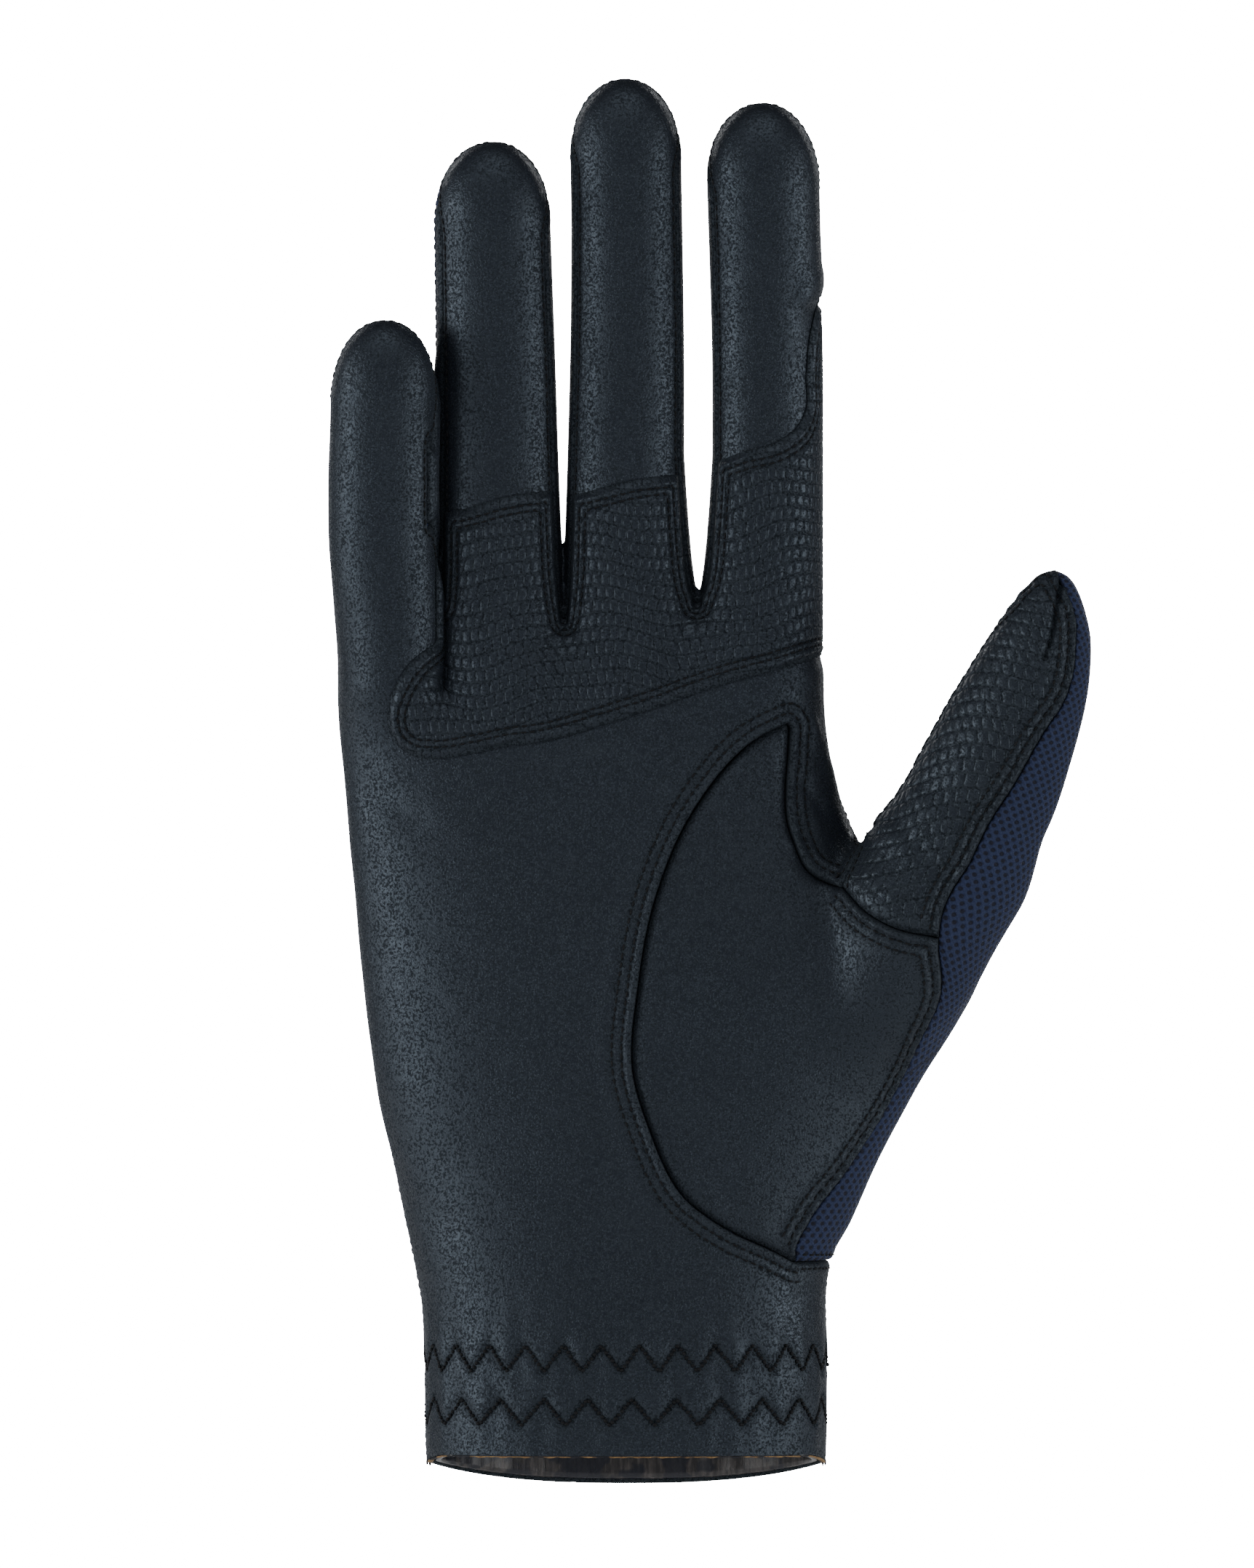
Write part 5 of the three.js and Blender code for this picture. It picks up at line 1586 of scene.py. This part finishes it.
def panel_piece(part, points, tris, label, seams):
    """One panel: its seams' relief, its wall and its material."""
    name = PANELS[part]
    mine = tris[label == part]
    nearby = Seams(points, seams, part)
    local, faces, _ = compact(points, mine, {})
    if part == GRIP_PART:
        local, faces, _ = subdivide(local, faces, {})
    distance, _, _ = nearby.nearest(local)
    fields = {"seam": distance}
    for step in PROFILE_STEPS:
        local, faces, fields = split_edges(local, faces, fields, "seam", step)
    distance = fields["seam"]
    _, other, along = nearby.nearest(local)
    base_normal = field_gradient(local)
    base_normal /= np.linalg.norm(base_normal, axis=1)[:, None]
    wall = sizes().wall / MM
    local = pull_back(local, faces, sizes().seam_gap / MM / 2)
    relief = seam_relief(part, distance, other, along)
    relief *= 1 - 0.8 * smooth((local[:, 2] - THUMB_TIP[1] + 5) / 4) * (local[:, 0] > CROTCH_AT[0] + 10)
    if part == FIRST_FOURCHETTE:
        z = local[:, 2]
        touching = smooth((z - BULGE_LOW) / 12) * (1 - smooth((z - BULGE_HIGH) / 10))
        relief += BULGE * touching * smooth(distance / 2)
    if part in (PALM_PART, BASE_PART, GRIP_PART, CUFF_PART):
        relief = relief + leather_relief(local)
    uv = None
    if part == GRIP_PART:
        uv = scale_coordinates(local, thumb=True)
        plain = smooth((distance - 3.9) / 0.6) * smooth((THUMB_TIP[1] - local[:, 2] - 1.5) / 3)
        relief = relief + dart_relief(local) + scale_height(uv) * plain * sizes().scale_relief / MM
        uv = np.vstack([uv, uv])
    covered = np.ones(len(local))
    if part == PALM_PART:
        inside = outline_distance(patch_outline(), local[:, 0], local[:, 2])
        covered = np.where(local[:, 1] < 4, smooth((inside + 0.4) / 0.8), 1)
        sideways = smooth((base_normal[:, 0] - 0.4) / 0.4) * (local[:, 0] > HAND[3]["x"])
        rise = local[:, 2] - PATCH_TOP
        above = smooth((rise + 2.5) / 2) * (1 - smooth((rise - 1) / 5))
        relief = relief + INDEX_FILL * above * sideways * smooth(distance / 1.5)
        relief = np.where(covered < 1, np.minimum(relief, 0.15) * covered, relief)
    outer = local + base_normal * relief[:, None]
    inner = local - base_normal * wall
    shell, shell_faces = closed_shell(outer, inner, faces)
    # Painted shade: darker along the seam and along its stitch rows
    mark = bell(distance, 0.7)
    if part < FIRST_FOURCHETTE:
        rows = {level: sewn_points(part, other, level) for level in PROFILE_STEPS}
        for level, sewn in rows.items():
            mark = np.maximum(mark, bell(distance - level, 0.35) * sewn)
        stitch_lines.extend(level_lines(outer, faces, distance, rows))
    if part == GRIP_PART:
        # Painted shade along the groove of the thumb's dart
        mark = np.maximum(mark, bell(line_distance(smooth_line(THUMB_DART), local[:, 0], local[:, 2]), 0.5))
    if part == PALM_PART:
        mark = np.maximum(mark, zigzag_shade(local))
    # The inner wall is painted in full shade
    painted_shade = np.concatenate([mark, np.ones(len(local))])
    slot = "leather"
    material = leather_material()
    if part == BACK_PART:
        slot = "knit_mesh"
        material = knit_material()
        uv = surface_coordinates(shell)
    if part == GRIP_PART:
        slot = "grip_leather"
        material = grip_material()
    piece = make_mesh(name + "_skin", shell, shell_faces, material, {"seam": painted_shade}, uv)
    return settle(piece, slot, name)


def sewn_points(part, other, level):
    """Which points of a panel, by the panel that lies nearest to them, have a stitch row at this distance."""
    sewn = [level in STITCH_ROWS[SEAM_KINDS.get((part, q), "turned")] for q in range(len(PANELS))]
    return np.array(sewn)[other]


class GLOVE_OT_panels(bpy.types.Operator):
    """Make the leather and knit panels with their turned seams"""

    bl_idname = "glove.panels"
    bl_label = "Panels"

    def execute(self, context):
        points, tris, label = cut_into_panels()
        seams = edge_labels(tris, label, len(points))
        stitch_lines.clear()
        for part in range(len(PANELS)):
            panel_piece(part, points, tris, label, seams)
        return {"FINISHED"}


# The grip patch: its stitch rows' distances from its edge, and how far it stays from the seams
PATCH_ROWS = (1.9, 3.0)
PATCH_SEAM_CLEAR = 0.7


def edge_distance(points, tris):
    """Distance of every point from the sheet's edge."""
    edges = border_edges(tris, len(points))
    samples = np.vstack([mix(points[edges[:, 0]], points[edges[:, 1]], t) for t in (0.0, 0.33, 0.67)])
    tree = KDTree(len(samples))
    for i, sample in enumerate(samples):
        tree.insert(sample, i)
    tree.balance()
    return np.array([tree.find(p)[2] for p in points])


def level_lines(outer, tris, distance, rows):
    """Lines on which a distance has given values, with normals. rows says where each value is sewn."""
    normal = point_normals(outer, tris)
    edges = np.stack(unique_edges(tris, len(outer)), axis=1)
    lines = []
    for level, sewn in rows.items():
        chosen = (np.abs(distance[edges] - level) < 1e-6).all(1) & sewn[edges[:, 0]]
        for line in chains(edges[chosen]):
            if len(line) > SHORTEST_ROW:
                lines.append((outer[line] + THREAD_ABOVE * normal[line], normal[line]))
    return lines


class GLOVE_OT_grip_patch(bpy.types.Operator):
    """Make the embossed grip patch over the knuckles"""

    bl_idname = "glove.grip_patch"
    bl_label = "Grip Patch"

    def execute(self, context):
        points, quads = surface_net(PATCH_LOW, PATCH_HIGH, sizes().patch_step / MM, hand_field)
        points = relax(points, quads, 4)
        tris = np.vstack([quads[:, [0, 1, 2]], quads[:, [0, 2, 3]]])
        x, y, z = points.T
        ahead, _ = seam_depths(x, z)
        fields = {"edge": outline_distance(patch_outline(), x, z), "seam": y - ahead + PATCH_SEAM_CLEAR}
        for name in ("edge", "seam"):
            points, tris, fields = split_edges(points, tris, fields, name)
        mean = {name: value[tris].mean(1) for name, value in fields.items()}
        keep = (mean["edge"] < 0) & (mean["seam"] < 0)
        points, tris, fields = compact(points, tris[keep], fields)
        points = pull_to_surface(points, 2)
        points, tris, fields = subdivide(points, tris, fields)
        points = pull_to_surface(points, 1)
        fields = {"border": edge_distance(points, tris)}
        for row in PATCH_ROWS:
            points, tris, fields = split_edges(points, tris, fields, "border", row)
        border = fields["border"]
        normal = field_gradient(points)
        normal /= np.linalg.norm(normal, axis=1)[:, None]
        uv = scale_coordinates(points)
        emboss = scale_height(uv) * (sizes().scale_relief / MM)
        emboss = emboss * smooth((border - PATCH_ROWS[1] - 0.3) / 0.5)
        rim = 0.1 * bell(border - 1.1, 0.5) - 0.7 * (1 - smooth(border / 1.5))
        stitched = -0.3 * sum(bell(border - row, 0.32) for row in PATCH_ROWS)
        stitched = stitched + 0.1 * bell(border - sum(PATCH_ROWS) / 2, 0.3)
        sideways = smooth((np.abs(normal[:, 0]) - 0.6) / 0.35)
        height = PATCH_STEP - 0.15 + rim + stitched + emboss * (1 - 0.75 * sideways)
        outer = points + normal * mix(height, 0.88 * height, sideways)[:, None]
        everywhere = np.ones(len(points), bool)
        stitch_lines.extend(level_lines(outer, tris, border, {row: everywhere for row in PATCH_ROWS}))
        inner = points + normal * 0.05
        shell, faces = closed_shell(outer, inner, tris)
        # Painted shade along the patch's edge and its stitch rows; the sheet's underside is painted dark all
        # over
        mark = bell(border, 0.5) + 0.8 * sum(bell(border - row, 0.3) for row in PATCH_ROWS)
        mark = np.concatenate([np.minimum(mark, 1), np.ones(len(points))])
        uv = np.vstack([uv, uv])
        piece = make_mesh("palm_grip_patch_skin", shell, faces, grip_material(), {"seam": mark}, uv)
        settle(piece, "grip_leather", "palm_grip_patch")
        return {"FINISHED"}


def subdivide(points, tris, fields):
    """Cuts every triangle into four."""
    pairs = np.vstack([tris[:, [0, 1]], tris[:, [1, 2]], tris[:, [2, 0]]])
    pairs = np.sort(pairs, axis=1)
    unique, where = np.unique(pairs, axis=0, return_inverse=True)
    mids = (len(points) + where.ravel()).reshape(3, len(tris)).T
    fields = {key: np.concatenate([value, value[unique].mean(1)]) for key, value in fields.items()}
    points = np.vstack([points, points[unique].mean(1)])
    a, b, c = tris.T
    ab, bc, ca = mids.T
    quarters = ((a, ab, ca), (ab, b, bc), (ca, bc, c), (ab, bc, ca))
    return points, np.vstack([np.stack(quarter, 1) for quarter in quarters]), fields


# The hem facing: how far out from the cuff's outside its two faces lie, and how far above the hem it starts
FACING_INSIDE = (-1.55, -2.35)
FACING_ABOVE = 0.2
FACING_AROUND = 240
FACING_LEVELS = 14


class GLOVE_OT_facing(bpy.types.Operator):
    """Make the facing inside the cuff's hem"""

    bl_idname = "glove.facing"
    bl_label = "Hem Facing"

    def execute(self, context):
        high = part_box("hem_facing")[1].z / MM
        around = np.linspace(0, 2 * np.pi, FACING_AROUND, endpoint=False)
        levels = np.linspace(0, 1, FACING_LEVELS)
        rows = []
        for grow in FACING_INSIDE:
            for level in levels:
                c, s = np.cos(around), np.sin(around)
                left, right, b, _ = palm_at(np.full(len(around), level * high))
                a = (right - left) / 2
                x = (left + right) / 2 + (a + grow) * np.sign(c) * np.abs(c) ** (2 / PALM_ROUNDNESS)
                y = (b + grow) * np.sign(s) * np.abs(s) ** (2 / PALM_ROUNDNESS)
                z = mix(hem_height(y) + FACING_ABOVE, high, level)
                ripple = 0.12 * np.sin(around * 31 + 3 * np.sin(around * 5)) * (1 - level)
                rows.append(np.stack([x, y + ripple * np.sign(y), z], axis=1))
        points = np.vstack(rows)
        count = len(around)
        order = list(range(len(levels))) + list(range(2 * len(levels) - 1, len(levels) - 1, -1))
        faces = []
        for i, row in enumerate(order):
            after = order[(i + 1) % len(order)]
            for j in range(count):
                k = (j + 1) % count
                faces.append((row * count + j, row * count + k, after * count + k, after * count + j))
        piece = make_mesh("hem_facing_skin", points, np.array(faces), facing_material())
        settle(piece, "facing", "hem_facing")
        return {"FINISHED"}


class GLOVE_OT_stitches(bpy.types.Operator):
    """Sew the seams' stitch rows"""

    bl_idname = "glove.stitches"
    bl_label = "Seam Stitches"

    def execute(self, context):
        size = sizes()
        piece = sew("seam_stitches", stitch_lines, size.stitch_pitch, size.stitch_length, size.thread)
        settle(piece, "leather")
        return {"FINISHED"}


def surface_tree(piece):
    depsgraph = bpy.context.evaluated_depsgraph_get()
    return BVHTree.FromObject(piece, depsgraph)


# The zigzag rows' threads: how far round the cuff they run, their points' spacing, and how far back they show
ZIGZAG_REACH = 44.0
ZIGZAG_SPACING = 0.15
ZIGZAG_BACK = 3.2
ZIGZAG_STITCH_PITCH = 0.85
ZIGZAG_STITCH_LENGTH = 0.78
ZIGZAG_THREAD = 1.75


class GLOVE_OT_zigzags(bpy.types.Operator):
    """Sew the elastic zigzag rows across the front of the cuff"""

    bl_idname = "glove.zigzags"
    bl_label = "Cuff Zigzags"

    def execute(self, context):
        tree = surface_tree(bpy.data.objects["palm_panel_skin"])
        sx, sy, length, _ = cuff_section()
        lines = []
        for row in ZIGZAGS:
            around = np.arange(-ZIGZAG_REACH, ZIGZAG_REACH, ZIGZAG_SPACING)
            x = np.interp(around, length, sx)
            y = np.interp(around, length, sy)
            z = zigzag_at(around, row)
            points = []
            normals = []
            for place in zip(x, y, z):
                if place[1] < ZIGZAG_BACK:
                    out = Vector((place[0], place[1] * 2, 0)).normalized()
                    start = Vector(place) * MM + out * 3 * MM
                    hit, normal, _, _ = tree.ray_cast(start, -out, 8 * MM)
                    if hit is not None:
                        points.append(np.array(hit) / MM + 0.08 * np.array(normal))
                        normals.append(np.array(normal))
            lines.append((np.array(points), np.array(normals)))
        thread = sizes().thread * ZIGZAG_THREAD
        pitch = ZIGZAG_STITCH_PITCH * MM
        piece = sew("cuff_zigzags", lines, pitch, ZIGZAG_STITCH_LENGTH * MM, thread, seed=11)
        settle(piece, "leather")
        return {"FINISHED"}


# The raw edge's section: how far inside the cuff's outside and how far below the hem each corner lies
RAW_EDGE_REACH = 43.5
RAW_EDGE_SECTION = ((0.12, 0.02), (0.14, 0.2), (0.95, 0.17), (0.95, 0.02))


class GLOVE_OT_raw_edge(bpy.types.Operator):
    """Make the pale cut edge along the front of the hem"""

    bl_idname = "glove.raw_edge"
    bl_label = "Raw Hem Edge"

    def execute(self, context):
        sx, sy, length, _ = cuff_section()
        around = np.arange(-RAW_EDGE_REACH, RAW_EDGE_REACH, 0.3)
        x = np.interp(around, length, sx)
        y = np.interp(around, length, sy)
        out = np.stack([x / CUFF_WIDTH, y / CUFF_DEPTH], axis=1)
        out /= np.linalg.norm(out, axis=1)[:, None]
        hem = hem_height(y)
        ragged = 0.12 * np.sin(around * 2.3) * np.sin(around * 0.71 + 1)
        ring = []
        for inward, drop in RAW_EDGE_SECTION:
            ring.append(np.stack([x - out[:, 0] * inward, y - out[:, 1] * inward,
                                  hem - drop + (ragged if drop > 0.1 else 0)], axis=1))
        points = np.stack(ring, axis=1).reshape(-1, 3)
        faces = []
        for i in range(0, len(points) - 4, 4):
            for k in range(4):
                m = (k + 1) % 4
                faces.append((i + k, i + 4 + k, i + 4 + m, i + m))
        faces += [(0, 1, 2, 3), tuple(len(points) - 4 + k for k in (3, 2, 1, 0))]
        piece = make_mesh("hem_raw_edge", points, np.array(faces), raw_edge_material())
        settle(piece, "leather")
        return {"FINISHED"}


# The studio, in metres: the camera, the floor that curves up all round, and the soft lights
CAMERA_FOCUS = 600.0
SENSOR = 36.0
FRAME_HEIGHT = 264.1 * MM
FRAME_CENTRE = (0.1 * MM, 117.7 * MM)
FLOOR_BELOW = 0.12
FLOOR_PROFILE = ((5.5, 0.0), (6.3, 0.1), (7.1, 0.5), (7.7, 1.3), (7.9, 4.5))
FLOOR_AROUND = 96
GLOW_SEEN = 25.0
WORLD_LIGHT = 0.05
LIT_PLACE = (0.0, 0.0, 0.12)
# Name, place, width and height, and power
LIGHTS = (
    ("left_strip", (-1.13, -0.42, 0.2), (0.24, 1.2), 10.0),
    ("right_strip", (1.08, -0.52, 0.1), (0.3, 1.2), 8.0),
    ("top_soft", (0.0, -0.9, 1.5), (1.2, 1.2), 9.5),
    ("back_left", (-0.55, 1.5, 0.5), (0.5, 1.1), 11.0),
    ("back_right", (0.55, 1.5, 0.5), (0.5, 1.1), 11.0),
)


def area_light(name, place, size, power):
    data = bpy.data.lights.new(name, "AREA")
    data.shape = "RECTANGLE"
    data.size, data.size_y = size
    data.energy = power
    light = bpy.data.objects.new(name, data)
    bpy.context.scene.collection.objects.link(light)
    light.location = place
    light.rotation_euler = (Vector(LIT_PLACE) - Vector(place)).to_track_quat("-Z", "Z").to_euler()


def floor_mesh():
    """A round floor whose rim curves up."""
    points = []
    for radius, height in FLOOR_PROFILE:
        for i in range(FLOOR_AROUND):
            angle = 2 * math.pi * i / FLOOR_AROUND
            points.append((radius * math.cos(angle), radius * math.sin(angle), height - FLOOR_BELOW))
    points.append((0, 0, -FLOOR_BELOW))
    faces = []
    for i in range(FLOOR_AROUND):
        k = (i + 1) % FLOOR_AROUND
        for row in range(0, FLOOR_AROUND * (len(FLOOR_PROFILE) - 1), FLOOR_AROUND):
            faces.append((row + i, row + k, row + FLOOR_AROUND + k, row + FLOOR_AROUND + i))
        faces.append((len(points) - 1, i, k))
    mesh = bpy.data.meshes.new("floor")
    mesh.from_pydata(points, [], faces)
    mesh.polygons.foreach_set("use_smooth", np.ones(len(mesh.polygons), bool))
    return mesh


class GLOVE_OT_studio(bpy.types.Operator):
    """Set up the floor, the soft lights and the camera"""

    bl_idname = "glove.studio"
    bl_label = "Studio"

    def execute(self, context):
        scene = context.scene
        mesh = floor_mesh()
        material, n, shader = new_material("Pale Floor")
        shader.inputs["Base Color"].default_value = (0.86, 0.86, 0.86, 1.0)
        shader.inputs["Roughness"].default_value = 0.9
        shader.inputs["Emission Color"].default_value = (1.0, 1.0, 1.0, 1.0)
        seen = n.add("ShaderNodeLightPath").outputs["Is Camera Ray"]
        n.link(n.math("MULTIPLY", seen, GLOW_SEEN), shader.inputs["Emission Strength"])
        mesh.materials.append(material)
        floor = bpy.data.objects.new("floor", mesh)
        scene.collection.objects.link(floor)

        world = bpy.data.worlds.new("Studio")
        scene.world = world
        world.use_nodes = True
        n = Nodes(world.node_tree)
        background = world.node_tree.nodes["Background"]
        background.inputs["Color"].default_value = (1.0, 1.0, 1.0, 1.0)
        seen = n.add("ShaderNodeLightPath").outputs["Is Camera Ray"]
        n.link(n.math("MULTIPLY_ADD", seen, GLOW_SEEN, WORLD_LIGHT), background.inputs["Strength"])

        for light in LIGHTS:
            area_light(*light)

        data = bpy.data.cameras.new("photo_view")
        data.lens = CAMERA_FOCUS
        data.sensor_width = SENSOR
        data.clip_start = 0.05
        data.clip_end = 50.0
        camera = bpy.data.objects.new("photo_view", data)
        scene.collection.objects.link(camera)
        distance = FRAME_HEIGHT / SENSOR * CAMERA_FOCUS
        camera.location = (FRAME_CENTRE[0], -distance, FRAME_CENTRE[1])
        camera.rotation_euler = (math.pi / 2, 0, 0)
        scene.camera = camera
        return {"FINISHED"}


class GLOVE_PT_panel(bpy.types.Panel):
    """Sizes, colours and the steps that make the glove"""

    bl_label = "Glove"
    bl_space_type = "VIEW_3D"
    bl_region_type = "UI"
    bl_category = "Glove"

    def draw(self, context):
        column = self.layout.column()
        for operator in OPERATORS:
            column.operator(operator.bl_idname)
        for group in (context.scene.glove_sizes, context.scene.glove_colours):
            for name in group.__annotations__:
                column.prop(group, name)


OPERATORS = (
    GLOVE_OT_studio,
    GLOVE_OT_panels,
    GLOVE_OT_grip_patch,
    GLOVE_OT_facing,
    GLOVE_OT_stitches,
    GLOVE_OT_zigzags,
    GLOVE_OT_raw_edge,
)
CLASSES = (GloveSizes, GloveColours, *OPERATORS, GLOVE_PT_panel)


def register():
    for cls in CLASSES:
        bpy.utils.register_class(cls)
    bpy.types.Scene.glove_sizes = PointerProperty(type=GloveSizes)
    bpy.types.Scene.glove_colours = PointerProperty(type=GloveColours)


def unregister():
    del bpy.types.Scene.glove_colours
    del bpy.types.Scene.glove_sizes
    for cls in reversed(CLASSES):
        bpy.utils.unregister_class(cls)


def main():
    register()
    bpy.ops.glove.studio()
    bpy.ops.glove.panels()
    bpy.ops.glove.grip_patch()
    bpy.ops.glove.facing()
    bpy.ops.glove.stitches()
    bpy.ops.glove.zigzags()
    bpy.ops.glove.raw_edge()


if __name__ == "__main__":
    main()
